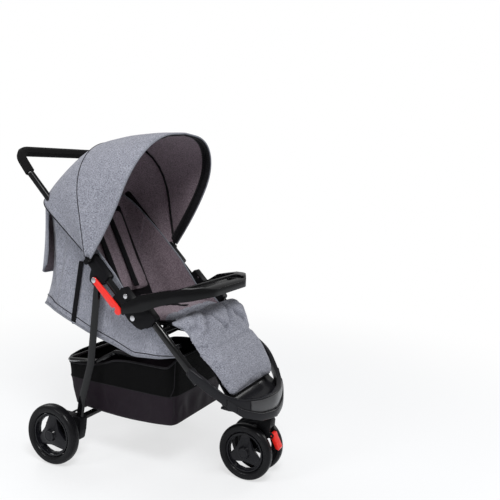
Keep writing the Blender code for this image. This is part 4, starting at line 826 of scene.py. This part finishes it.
# %% Canopy lines
def half_arch(shape):
    """Half of a bow's line as (x, radius) pairs, from its foot to its crown."""
    corner_x, corner_r = shape["corner"]
    turns = [math.pi / 2 * k / ARCH_STEPS for k in range(ARCH_STEPS + 1)]
    pairs = [(shape["x"], CLOTH_START)]
    pairs += [(shape["x"] - corner_x + corner_x * math.cos(a) ** BOW_ROUND,
               shape["height"] - corner_r + corner_r * math.sin(a) ** BOW_ROUND) for a in turns]
    return softly(pairs + [(0.0, shape["height"] + BOW_CROWN)], HALF_COLUMNS + 1, 3)


def full_line(shape):
    half = half_arch(shape)
    return np.concatenate((half, half[-2::-1] * (-1, 1)))


def canopy_point(x, radius, angle):
    return (x, CANOPY_PIVOT[0] + radius * math.cos(angle),
            CANOPY_PIVOT[1] + radius * math.sin(angle))


def brim_angle(radius):
    half_way = math.sin(math.pi * min(radius / FRONT_BOW["height"], 1.0))
    return FRONT_BOW["angle"] + (BRIM + BRIM_BULGE * half_way) / radius


# %% Canopy panels
def gathers(radius, angle):
    """Small folds that run out from the pivot and fade towards the crown."""
    fade = math.exp(-max(radius - CLOTH_START, 0.0) / GATHER_FADE)
    wave = sum(part * math.sin(angle * pace + phase) for part, pace, phase in GATHER_WAVES)
    return GATHER_DEPTH * fade * wave


def panel_rows(first, second, count, sink):
    """Rows between two lines. Each line is its pairs and its angle by radius."""
    rows = []
    for k in range(count + 1):
        t = k / count
        eased = t * t * (3 - 2 * t)
        drawn = 1 - sink * math.sin(math.pi * t)
        row = []
        for (xa, ra), (xb, rb) in zip(first[0], second[0]):
            angle = first[1](ra) + (second[1](rb) - first[1](ra)) * t
            x = xa + (xb - xa) * eased
            radius = (ra + (rb - ra) * t) * drawn
            ripple = gathers(radius, angle) * math.sin(math.pi * t) ** 0.5
            spot = Vector(canopy_point(x, radius, angle))
            crease = noise.noise(spot * CREASE_PACE) * CREASE_DEPTH * math.sin(math.pi * t)
            x += math.copysign(ripple, x) if abs(x) > GATHER_FROM_X else 0.0
            row.append(canopy_point(x, radius + crease, angle))
        rows.append(row)
    return rows


def bow_line(shape):
    return full_line(shape), lambda radius: shape["angle"]


rear_line, mid_line, front_line = bow_line(REAR_EDGE), bow_line(MID_BOW), bow_line(FRONT_BOW)
brim_line = (full_line(FRONT_BOW), brim_angle)
canopy_rows = panel_rows(rear_line, mid_line, REAR_ROWS, PANEL_SINK)
mid_row = len(canopy_rows) - 1
canopy_rows += panel_rows(mid_line, front_line, FRONT_ROWS, PANEL_SINK)[1:]
canopy_rows += panel_rows(front_line, brim_line, BRIM_ROWS, 0.0)[1:]

# %% Canopy sheet
FOLD_REACH = 0.17               # how far from the middle bow the two given bend points lie
fold_run = Vector((0.0, -math.sin(MID_BOW["angle"]), math.cos(MID_BOW["angle"]))) * FOLD_REACH
pivot_point = Vector((0.0, *CANOPY_PIVOT))


def follow_canopy(obj, slot, *replaced):
    return bent(obj, "handle", "canopy_front", pivot_point - fold_run,
                pivot_point + fold_run, slot, *replaced)


canopy = thick_cloth("canopy", canopy_rows, GREY_CLOTH, LINING, BINDING)
follow_canopy(canopy, "grey_cloth", "canopy_front_cloth", "canopy_rear_cloth")
flat_size("canopy", canopy_rows)

# %% [markdown]
# Three seams finish the canopy: a binding round the brim, one at its rear edge,
# and a thin piping where the two panels meet over the middle bow.

# %% Canopy seams
BRIM_CORD, REAR_CORD, MID_CORD, MID_LIFT = 0.0026, 0.0024, 0.0014, 0.0012
brim_edge = piping("canopy_brim_binding", canopy_rows[-1], BRIM_CORD, GREY_BINDING)
follow_canopy(brim_edge, "grey_cloth")
rear_edge = piping("canopy_rear_binding", canopy_rows[0], REAR_CORD, BINDING)
place(rear_edge, "handle", "webbing")


def lifted(row, amount):
    """A row of the canopy moved outwards from its middle line."""
    return [Vector(p) + (Vector(p) - pivot_point).normalized() * amount for p in row]


mid_seam = piping("canopy_mid_piping", lifted(canopy_rows[mid_row], MID_LIFT), MID_CORD,
                  BINDING)
follow_canopy(mid_seam, "webbing")
print("canopy rows:", len(canopy_rows))

# %% [markdown]
# Elastic gathers the lining along the brim into a row of short pleats.
# A narrow band inside the brim carries them, as many small ripples along its length.

# %% Canopy pleats
PLEAT_PITCH, PLEAT_HEIGHT = 0.0105, 0.0016
BAND_WIDTH, BAND_INSET, BAND_T = 0.034, 0.0042, 0.0008
BAND_STEPS_PER_PLEAT, BAND_LEVELS = 6, 6
BAND_END, PLEAT_AT_EDGE = 0.6, 0.35    # shares of the inset and the depth at the band's edges


def pleated_band():
    outer = np.array(canopy_rows[-1])
    inner = np.array(canopy_rows[-1 - BRIM_ROWS - 1])
    length = np.linalg.norm(np.diff(outer, axis=0), axis=1).sum()
    count = int(length / PLEAT_PITCH) * BAND_STEPS_PER_PLEAT
    outer, inner = resampled(outer, count), resampled(inner, count)
    centre = np.array((0.0, *CANOPY_PIVOT))
    rows = []
    for k in range(BAND_LEVELS + 1):
        t = k / BAND_LEVELS
        row = []
        for i, (p, q) in enumerate(zip(outer, inner)):
            run = (q - p) / np.linalg.norm(q - p)
            spot = p + run * BAND_WIDTH * t
            inward = centre - spot
            inward /= np.linalg.norm(inward)
            wave = math.sin(2 * math.pi * i / BAND_STEPS_PER_PLEAT)
            swell = PLEAT_AT_EDGE + (1 - PLEAT_AT_EDGE) * math.sin(math.pi * t)
            depth = BAND_INSET + PLEAT_HEIGHT * wave * swell
            row.append(spot + inward * (depth if k else BAND_INSET * BAND_END))
        rows.append(row)
    return rows


band_rows = pleated_band()
band = thick_cloth("canopy_pleats", band_rows, BINDING, BINDING, BINDING, BAND_T)
follow_canopy(band, "lining")
flat_size("pleats", band_rows)

# %% [markdown]
# The tub is the cloth that hangs round the seat: two sides and a bulging rear wall.
# Its top edge follows the tubes and its bottom edge sags from the front to the back.

# %% Tub
TUB_X = 0.1875
FOLD_POINT = (-0.048, 0.507)
TUB_FOOT = [(TUB_X, -0.205, 0.408), (TUB_X, -0.120, 0.389), (TUB_X, -0.028, 0.382),
            (TUB_X, 0.048, 0.406), (TUB_X, 0.148, 0.431), (TUB_X, 0.240, 0.464),
            (TUB_X, 0.285, 0.482), (0.1810, 0.325, 0.498), (0.160, 0.358, 0.496),
            (0.120, 0.386, 0.490), (0.060, 0.400, 0.486), (0.0, 0.404, 0.485)]
TUB_LAP = 0.0135                # how far the side cloth laps up over the handle tube
TUB_TOP = [(TUB_X, -0.205, 0.397), (TUB_X, -0.120, 0.4807), (TUB_X, -0.0800, 0.520),
           (TUB_X, *FOLD_POINT), (TUB_X, 0.060 - TUB_LAP, 0.615 + TUB_LAP),
           (TUB_X, 0.150 - TUB_LAP, 0.705 + TUB_LAP),
           (TUB_X, 0.240 - TUB_LAP / 2, 0.795 + TUB_LAP / 2), (TUB_X, 0.280, 0.835),
           (0.1862, 0.318, 0.853), (0.160, 0.334, 0.853), (0.120, 0.342, 0.853),
           (0.060, 0.347, 0.853), (0.0, 0.348, 0.853)]
TUB_COLUMNS, TUB_ROWS = 70, 26
TUB_FLARE = 3.0                 # the rear wall keeps to its upper edge's depth further down
REAR_FROM, REAR_OVER = 0.285, 0.04   # the side turns into the rear wall over this depth
SIDE_FOLDS_FROM_X = 0.18
SIDE_FOLD_PACE, SIDE_FOLD_LEAN, SIDE_FOLD_DRIFT = 16.0, 6.0, 3.0
FOLD_DEPTH = 0.0042             # how far the side cloth's slack folds stand out
CORNER_DRAW, WALL_DRAW = 0.035, 0.010   # how the rear wall is drawn in half way up


def tub_rows():
    low, high = softly(TUB_FOOT, TUB_COLUMNS, 1), softly(TUB_TOP, TUB_COLUMNS, 1)
    rows = []
    for j in range(TUB_ROWS + 1):
        share = j / TUB_ROWS
        half = []
        for a, b in zip(low, high):
            p = a + (b - a) * share
            rear = min(max((p[1] - REAR_FROM) / REAR_OVER, 0.0), 1.0)
            flared = a[1] + (b[1] - a[1]) * (1 - (1 - share) ** TUB_FLARE)
            p[1] += (flared - p[1]) * rear
            slack = math.sin(math.pi * share)
            fold = noise.noise(Vector((p[1] * SIDE_FOLD_PACE - p[2] * SIDE_FOLD_LEAN,
                                       p[2] * SIDE_FOLD_DRIFT, 0.0)))
            p[0] *= 1 - CORNER_DRAW * slack * rear
            if rear > 0.5:
                p[1] += FOLD_DEPTH * fold * slack - WALL_DRAW * slack
            elif p[0] > SIDE_FOLDS_FROM_X:
                p[0] -= FOLD_DEPTH * (0.5 + fold) * slack
            half.append(p)
        half = np.array(half)
        rows.append(np.concatenate((half, half[-2::-1] * (-1, 1, 1))))
    return rows


tub_grid = np.array(tub_rows())
print("tub grid:", tub_grid.shape[:2])

# %% Tub panels
PARTING_Y = 0.262               # where the side panels end and the rear panel starts
FOLD_FROM, FOLD_TO = (0.0, -0.10, 0.45), (0.0, 0.06, 0.45)
RECLINE_FROM, RECLINE_TO = (0.0, 0.300, 0.6), (0.0, 0.345, 0.6)
columns = np.arange(tub_grid.shape[1])
rear_columns = columns[tub_grid[0, :, 1] > PARTING_Y]
side_columns = {"left": columns[:rear_columns[0] + 3], "right": columns[rear_columns[-1] - 2:]}


def follow_front(obj, slot, *replaced):
    """A side panel, with its place baked into its mesh and the nodes that it stands for hidden."""
    return bent(obj, "frame", "handle", FOLD_FROM, FOLD_TO, slot, *replaced)


def follow_backrest(obj, slot, *replaced):
    """The rear panel, with its place baked into its mesh and the nodes that it stands for hidden.
    """
    return bent(obj, "handle", "backrest", RECLINE_FROM, RECLINE_TO, slot, *replaced)


for side, chosen in side_columns.items():
    rows = tub_grid[:, chosen]
    panel = thick_cloth("tub_side_" + side, rows, GREY_CLOTH, LINING, GREY_BINDING)
    follow_front(panel, "grey_cloth", "seat_tub")
    flat_size("tub side", rows)
rear_rows = tub_grid[:, rear_columns] * (0.994, 1.0, 1.0)
rear_panel = thick_cloth("tub_rear", rear_rows, GREY_CLOTH, LINING, GREY_BINDING)
follow_backrest(rear_panel, "grey_cloth")
flat_size("tub rear", rear_rows)

# %% [markdown]
# A double row of piping runs along the tub's bottom edge, and a single row along its top.
# The piping is parted where the panels are.

# %% Tub piping
TUB_PIPES = [("foot_piping", 0, 0.0032, GREY_BINDING, (1.0, 1.0, 1.0), -0.001),
             ("foot_seam", 2, 0.0013, BINDING, (1.006, 1.003, 1.0), 0.0),
             ("top_piping", -1, 0.0026, GREY_BINDING, (1.0, 1.0, 1.0), 0.001)]
for name, level, radius, look, spread, lift in TUB_PIPES:
    line = tub_grid[level] * spread + (0.0, 0.0, lift)
    for side, chosen in side_columns.items():
        follow_front(piping("tub_side_" + name + "_" + side, line[chosen], radius, look),
                     "grey_cloth")
    follow_backrest(piping("tub_rear_" + name, line[rear_columns], radius, look), "grey_cloth")
    print(name, "radius", radius)

# %% [markdown]
# A thick flap hangs over the rear wall. Its lower edge is rounded and bound in grey.

# %% Rear flap
FLAP_SHARES = (0.985, 0.29)     # where it starts and ends on the rear wall
FLAP_FROM_Y = 0.345             # it spans the part of the wall that lies behind this
FLAP_ROWS = 22
FLAP_OFF, FLAP_T, FLAP_CORD = 0.0085, 0.004, 0.0030
FLAP_RUN = FLAP_SHARES[0] - FLAP_SHARES[1]
FLAP_CORNER = (0.16, 0.11)      # how wide and high its lower corners' rounding is
FLAP_FREE = 0.024               # how far its free lower edge hangs off the wall


def flap_rows():
    rear = [i for i, p in enumerate(tub_grid[0]) if p[1] > FLAP_FROM_Y]
    rows = []
    for k in range(FLAP_ROWS + 1):
        row = []
        for i in rear:
            edge = min(i - rear[0], rear[-1] - i) / (len(rear) * FLAP_CORNER[0])
            raised = FLAP_CORNER[1] * (1 - math.sqrt(1 - max(1 - edge, 0.0) ** 2))
            share = FLAP_SHARES[0] - (FLAP_RUN - raised) * k / FLAP_ROWS
            at = share * TUB_ROWS
            j, part = int(at), at - int(at)
            under = tub_grid[j] + (tub_grid[min(j + 1, TUB_ROWS)] - tub_grid[j]) * part
            run = under[min(i + 1, len(under) - 1)] - under[max(i - 1, 0)]
            out = np.array((-run[1], run[0], 0.0))
            out /= np.linalg.norm(out)
            if out[1] < 0:
                out = -out
            free = math.sin(math.pi / 2 * (FLAP_SHARES[0] - share) / FLAP_RUN)
            row.append(under[i] + out * (FLAP_OFF + FLAP_FREE * free))
        rows.append(row)
    return rows


flap_grid = flap_rows()
flap = thick_cloth("rear_flap_cloth", flap_grid, GREY_CLOTH, LINING, GREY_BINDING, FLAP_T,
                   flip=True)
follow_backrest(flap, "grey_cloth", "rear_flap")
flat_size("flap", flap_grid)
flap_line = [row[0] for row in flap_grid] + list(flap_grid[-1])
flap_line += [row[-1] for row in reversed(flap_grid)]
flap_edge = piping("rear_flap_binding", flap_line, FLAP_CORD, GREY_BINDING)
follow_backrest(flap_edge, "grey_cloth")

# %% [markdown]
# The pads are stuffed, so their form comes from a cloth simulation under pressure.
# A copy of the CAD solid is remeshed, blown up a little and held to a few millimetres.
# Seams are pressed in afterwards, because the remesh removes narrow grooves.

# %% Padded cushions
VOXEL = 0.005
PRESSURE, STIFFNESS, SIM_FRAMES = 4.0, 8.0, 20
FREEDOM = 2.2                   # how far a point may move, as a multiple of the shrinking


def blown_up(obj, most):
    """Runs the cloth under pressure and lets no point move further than most."""
    start = np.array([v.co for v in obj.data.vertices])
    swell = obj.modifiers.new("swell", "CLOTH")
    swell.settings.quality = 4
    swell.settings.use_pressure = True
    swell.settings.uniform_pressure_force = PRESSURE
    swell.settings.tension_stiffness = STIFFNESS
    swell.settings.compression_stiffness = STIFFNESS
    swell.settings.effector_weights.gravity = 0.0
    swell.point_cache.frame_end = SIM_FRAMES
    scene = bpy.context.scene
    for step in range(1, SIM_FRAMES + 1):
        scene.frame_set(step)
    graph = bpy.context.evaluated_depsgraph_get()
    mesh = obj.evaluated_get(graph).to_mesh()
    end = np.array([v.co for v in mesh.vertices])
    obj.modifiers.remove(swell)
    scene.frame_set(1)
    moved = end - start
    size = np.linalg.norm(moved, axis=1, keepdims=True)
    moved *= np.minimum(1.0, most / np.maximum(size, 1e-9))
    obj.data.vertices.foreach_set("co", (start + moved).ravel())
    obj.data.update()


def cushion_copy(name, node, shrink):
    """A remeshed copy of a pad's solid, drawn in a little from all sides."""
    obj = solid_copy(name, node)
    with editing(obj):
        bpy.ops.mesh.remove_doubles(threshold=WELD)
        bpy.ops.mesh.normals_make_consistent(inside=False)
    obj.data.remesh_voxel_size = VOXEL
    bpy.ops.object.voxel_remesh()
    normals = np.array([v.normal for v in obj.data.vertices])
    places = np.array([v.co for v in obj.data.vertices])
    obj.data.vertices.foreach_set("co", (places - normals * shrink).ravel())
    obj.data.update()
    blown_up(obj, shrink * FREEDOM)
    return obj


def pressed(obj, depth_at):
    """Moves each point in along its normal by the depth that a seam gives there."""
    normals = [v.normal.copy() for v in obj.data.vertices]
    for vert, normal in zip(obj.data.vertices, normals):
        vert.co -= normal * depth_at(vert.co, normal)
    obj.data.update()


def groove(distance, half, depth):
    return depth * math.exp(-(distance / half) ** 2)


def channels(p, across, half, depth):
    """Long grooves that run down a pad at these places across it."""
    return sum(groove(p.x - x, half, depth) for x in across)


def lumps(p, depth, pace):
    """Unevenness of the filling. The pace says how close its lumps lie, by axis."""
    return depth * noise.noise(Vector([a * b for a, b in zip(p, pace)]))


def finished_pad(obj, look, body, slot, node):
    finer = obj.modifiers.new("finer", "SUBSURF")
    finer.levels = finer.render_levels = 1
    keep_modifiers(obj)
    smooth_all_over(obj)
    place(paint(obj, look), body, slot, node)
    print(obj.name, "faces:", len(obj.data.polygons))


# %% Seat pad
SEAT_CHANNELS = (-0.075, 0.0, 0.075), 0.006, 0.004     # places, half width and depth
SEAT_LUMPS = 0.0016, (26.0, 26.0, 26.0)
SEAT_FRONT_Y = -0.112           # the grey front of the seat pad ends here
seat = cushion_copy("seat_cushion", "seat_pad", 0.003)
pressed(seat, lambda p, n: max(n.z, 0.0) * channels(p, *SEAT_CHANNELS) + lumps(p, *SEAT_LUMPS))
finished_pad(seat, LINING, "frame", "lining", "seat_pad")
seat.data.materials.append(GREY_CLOTH)
for face in seat.data.polygons:
    face.material_index = 1 if face.center.y < SEAT_FRONT_Y else 0

# %% Back pad
BACK_CHANNELS = (-0.082, 0.0, 0.082), 0.008, 0.005
BACK_LUMPS = 0.003, (22.0, 6.0, 9.0)
back = cushion_copy("back_cushion", "back_pad", 0.003)
pressed(back, lambda p, n: max(-n.y, 0.0) * channels(p, *BACK_CHANNELS) + lumps(p, *BACK_LUMPS))
finished_pad(back, LINING, "backrest", "lining", "back_pad")

# %% [markdown]
# The calf rest has a puffy roll over the seat's front edge and one large smooth panel.
# A cross seam parts them, and short creases run into the roll from both sides.

# %% Calf pad
CALF_SEAM_Z = 0.432
CALF_SEAM_BOW, CALF_SEAM_PACE = 0.003, 9.0
CALF_SEAM = 0.0035, 0.0042      # half width and depth
CREASE, CREASE_REACH = (0.008, 0.0160), 0.034
ROLL_Z, ROLL_HALF = 0.495, 0.035
ROLL_LUMPS = 0.0115, (24.0, 24.0, 24.0)
CALF_LUMPS = 0.0016, (12.0, 12.0, 12.0)
# Each crease has a place across, a height and a lean.
CREASES = [(-0.150, 0.486, 0.6), (-0.105, 0.497, 0.9), (-0.045, 0.492, -0.7),
           (0.020, 0.499, 0.8), (0.080, 0.490, -0.9), (0.128, 0.496, 0.5)]
CALF_SPREAD = 0.075             # how much wider the pad's top is than its board's
CALF_WIDE = (0.300, 0.400)      # heights over which the pad widens
CALF_EDGE = (0.130, 0.195)      # half widths between which its sides bend down
CALF_DROOP = (0.026, -0.016)    # how far back and down they bend
CALF_BEND = 1.6
calf = cushion_copy("calf_cushion", "calf_pad", 0.004)
for vert in calf.data.vertices:
    wide = min(max((vert.co.z - CALF_WIDE[0]) / (CALF_WIDE[1] - CALF_WIDE[0]), 0.0), 1.0)
    vert.co.x *= 1.0 + CALF_SPREAD * wide
    edge = max((abs(vert.co.x) - CALF_EDGE[0]) / (CALF_EDGE[1] - CALF_EDGE[0]), 0.0)
    vert.co.y += CALF_DROOP[0] * wide * edge ** CALF_BEND
    vert.co.z += CALF_DROOP[1] * wide * edge ** CALF_BEND


def calf_seams(p, n):
    front = max(-n.y, 0.0) + max(n.z, 0.0)
    seam = CALF_SEAM_Z + CALF_SEAM_BOW * math.sin(p.x * CALF_SEAM_PACE)
    depth = groove(p.z - seam, *CALF_SEAM) * front
    for x, z, lean in CREASES:
        away = (p.x - x) - lean * (p.z - z)
        depth += groove(away, *CREASE) * groove(p.z - z, CREASE_REACH, front)
    roll = groove(p.z - ROLL_Z, ROLL_HALF, 1.0)
    return depth + roll * lumps(p, *ROLL_LUMPS) + lumps(p, *CALF_LUMPS)


pressed(calf, calf_seams)
finished_pad(calf, GREY_CLOTH, "frame", "grey_cloth", "calf_pad")

# %% [markdown]
# The basket is a bag: mesh above, nylon below, and a round hem sewn over the link.
# Its corners keep a stitched seam and the nylon falls in soft upright pleats.

# %% Basket
BASKET_X = 0.1674
BASKET_RIM = [(0.0, -0.168, 0.386), (0.090, -0.168, 0.386), (0.148, -0.166, 0.384),
              (BASKET_X, -0.140, 0.352), (BASKET_X, -0.070, 0.352), (BASKET_X, 0.010, 0.352),
              (BASKET_X, 0.060, 0.346), (BASKET_X, 0.122, 0.322), (BASKET_X, 0.200, 0.312),
              (BASKET_X, 0.246, 0.311), (0.1520, 0.2575, 0.3245), (0.090, 0.2675, 0.329),
              (0.0, 0.272, 0.329)]
BASKET_MID = [(0.0, -0.160, 0.262), (0.090, -0.160, 0.262), (0.143, -0.158, 0.262),
              (0.163, -0.140, 0.261), (0.166, -0.070, 0.261), (0.166, 0.010, 0.261),
              (0.166, 0.060, 0.261), (0.166, 0.122, 0.261), (0.165, 0.195, 0.261),
              (0.161, 0.244, 0.261), (0.142, 0.262, 0.261), (0.085, 0.268, 0.261),
              (0.0, 0.269, 0.261)]
BASKET_FLOOR = [(0.0, -0.150, 0.166), (0.085, -0.150, 0.166), (0.125, -0.149, 0.165),
                (0.142, -0.138, 0.164), (0.145, -0.075, 0.159), (0.145, 0.005, 0.155),
                (0.145, 0.060, 0.155), (0.145, 0.120, 0.157), (0.144, 0.190, 0.161),
                (0.141, 0.235, 0.164), (0.127, 0.254, 0.166), (0.080, 0.260, 0.166),
                (0.0, 0.261, 0.166)]

# %% Basket rings
RING_STEPS_PER_CORNER, RING_ROUNDING = 7, 3
UPPER_LEVELS, LOWER_LEVELS, FLOOR_LEVELS = 12, 14, 10
BASKET_T, NYLON_BULGE, FLOOR_SAG = 0.0018, 0.018, 0.004
MESH_PLEAT, NYLON_PLEAT, PLEAT_PACE = 0.0035, 0.0105, 21.0
PLEAT_DRIFT = 0.8               # how much the nylon's pleats change towards the floor
BASKET_SEAM_Z = 0.2605          # mesh above, nylon below


def basket_ring(outline):
    """A closed ring through an outline's corners and their mirror images."""
    half = [np.array(p) for p in outline]
    ring = half + [p * (-1, 1, 1) for p in reversed(half[1:-1])]
    points = []
    for a, b in zip(ring, ring[1:] + ring[:1]):
        points += [a + (b - a) * k / RING_STEPS_PER_CORNER
                   for k in range(RING_STEPS_PER_CORNER)]
    points = np.array(points)
    for _ in range(RING_ROUNDING):
        points = (np.roll(points, 1, 0) + 2 * points + np.roll(points, -1, 0)) / 4
    return points


def pleats(ring, amount, drift):
    """Draws a ring's points in, more where the cloth is slack."""
    centre = ring.mean(0)
    out = ring - centre
    out[:, 2] = 0.0
    out /= np.linalg.norm(out, axis=1, keepdims=True)
    wave = np.array([noise.noise(Vector((p[0] * PLEAT_PACE, p[1] * PLEAT_PACE, drift)))
                     for p in ring])
    return ring - out * (np.abs(wave)[:, None] * amount)


def basket_levels():
    rim, mid, floor = (basket_ring(o) for o in (BASKET_RIM, BASKET_MID, BASKET_FLOOR))
    levels = []
    for k in range(UPPER_LEVELS):
        t = k / UPPER_LEVELS
        levels.append(pleats(rim + (mid - rim) * t, MESH_PLEAT * math.sin(math.pi * t), 0.0))
    for k in range(LOWER_LEVELS + 1):
        t = k / LOWER_LEVELS
        slack = math.sin(math.pi * t)
        ring = (mid + (floor - mid) * t) * (1 + NYLON_BULGE * slack, 1, 1)
        levels.append(pleats(ring, NYLON_PLEAT * slack, PLEAT_DRIFT * t))
    centre = floor.mean(0)
    for k in range(1, FLOOR_LEVELS):
        t = k / FLOOR_LEVELS
        ring = floor + (centre - floor) * t
        ring[:, 2] -= FLOOR_SAG * math.sin(math.pi * t / 2)
        levels.append(ring)
    return levels


basket_rings = basket_levels()
basket_rows = [np.concatenate((ring, ring[:1])) for ring in basket_rings]


def basket_piece():
    """The bag. The grid's ends are joined and its last ring is closed with one face."""
    obj = cloth_grid("basket_bag", basket_rows)
    with editing(obj):
        bpy.ops.mesh.remove_doubles(threshold=WELD)
        bpy.ops.mesh.select_mode(type="EDGE")
        bpy.ops.mesh.select_all(action="DESELECT")
        bpy.ops.mesh.select_non_manifold(extend=False)
    for edge in obj.data.edges:
        if obj.data.vertices[edge.vertices[0]].co.z > BASKET_SEAM_Z:
            edge.select = False
    bpy.ops.object.mode_set(mode="EDIT")
    bpy.ops.mesh.edge_face_add()
    bpy.ops.mesh.select_all(action="SELECT")
    bpy.ops.mesh.normals_make_consistent(inside=False)
    bpy.ops.mesh.select_mode(type="VERT")
    bpy.ops.object.mode_set(mode="OBJECT")
    paint(obj, MESH_CLOTH, NYLON)
    for face in obj.data.polygons:
        face.material_index = 1 if face.center.z < BASKET_SEAM_Z else 0
    solid = obj.modifiers.new("thickness", "SOLIDIFY")
    solid.thickness = BASKET_T
    solid.offset = 0.0
    keep_modifiers(obj)
    smooth_all_over(obj)
    return obj


def on_basket(obj, *replaced):
    place(obj, "frame", "black_cloth", *replaced)
    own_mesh(obj)
    return obj


bag = on_basket(basket_piece(), "basket")
flat_size("basket", basket_rows)

# %% Basket seams
HEM_CORD, SEAM_CORD = 0.0030, 0.0012
BAND_SPREAD, CORNER_SPREAD = (1.004, 1.002, 1.0), (1.004, 1.004, 1.0)
hem = on_basket(piping("basket_hem", basket_rings[0], HEM_CORD, BINDING, closed=True))
band_row = basket_rings[UPPER_LEVELS] * BAND_SPREAD
basket_band = on_basket(piping("basket_band", band_row, SEAM_CORD, BINDING, closed=True))
for side, sign in SIDES:
    line = [max(ring, key=lambda p: sign * p[0] - p[1]) * CORNER_SPREAD
            for ring in basket_rings[:UPPER_LEVELS + LOWER_LEVELS]]
    on_basket(piping("basket_corner_" + side, line, SEAM_CORD, BINDING))

# %% [markdown]
# Webbing is flat, so it is drawn directly: a narrow grid laid along its path.
# Two straps hold the tub to the handle tubes, and the harness lies on the backrest.

# %% Webbing
STRAP_T, STRAP_WIDTH, STRAP_STEPS = 0.0012, 0.018, 40
RIBBON_COLUMNS = (-0.5, -0.3, 0.0, 0.3, 0.5)   # shares of the width
STRAP_X = TUB_X + 0.0030
STRAP_TOP, STRAP_LOW = np.array((0.174, 0.655)), np.array((0.209, 0.457))
STRAP_TUCK = (0.006, 0.010)     # how far in and down its foot turns under the tub


def ribbon(name, path, width, wide_axis, thickness):
    """A flat strap along a path of points. Its width lies along one fixed direction."""
    points = softly(path, STRAP_STEPS)
    rows = [[p + np.array(wide_axis) * width * share for p in points]
            for share in RIBBON_COLUMNS]
    flat_size(name, rows)
    return thick_cloth(name, rows, WEBBING, WEBBING, WEBBING, thickness)


for side, sign in SIDES:
    path = [(sign * STRAP_X, *STRAP_TOP), (sign * STRAP_X, *(STRAP_TOP + STRAP_LOW) / 2),
            (sign * STRAP_X, *STRAP_LOW),
            (sign * (STRAP_X - STRAP_TUCK[0]), STRAP_LOW[0], STRAP_LOW[1] - STRAP_TUCK[1])]
    strap = ribbon("side_webbing_" + side, path, STRAP_WIDTH, (0.0, 1.0, 0.0), STRAP_T)
    place(strap, "handle", "webbing", "side_strap_" + side)

# %% Harness
BACK_PIVOT = Vector((0.0, 0.1344, 0.4615))
BACK_ANGLE = math.radians(64.0)
BACK_RUN = Vector((0.0, math.cos(BACK_ANGLE), math.sin(BACK_ANGLE)))
BACK_FRONT = Vector((0.0, -BACK_RUN.z, BACK_RUN.y))
HARNESS_X, HARNESS_WIDTH, HARNESS_T = 0.0425, 0.025, 0.0018
# Places up the backrest from its pivot, and how far the strap stands off its line there.
HARNESS_PATH = ((0.335, 0.0335), (0.26, 0.0365), (0.18, 0.0375), (0.11, 0.0375),
                (0.075, 0.0395))
for side, sign in SIDES:
    start = BACK_PIVOT + Vector((sign * HARNESS_X, 0.0, 0.0))
    path = [start + BACK_RUN * along + BACK_FRONT * off for along, off in HARNESS_PATH]
    strap = ribbon("harness_" + side, path, HARNESS_WIDTH, (1.0, 0.0, 0.0), HARNESS_T)
    place(strap, "backrest", "webbing", "shoulder_strap_" + side)

refined("crotch_strap", "frame", "webbing", WEBBING, 0.0010)

# %% [markdown]
# The grip is a foam sleeve with closed ends. Its surface is finely ribbed.

# %% Grip
refined("handle_grip", "handle", "foam", FOAM, 0.0)
print("CAD solids dressed:", len(nodes))
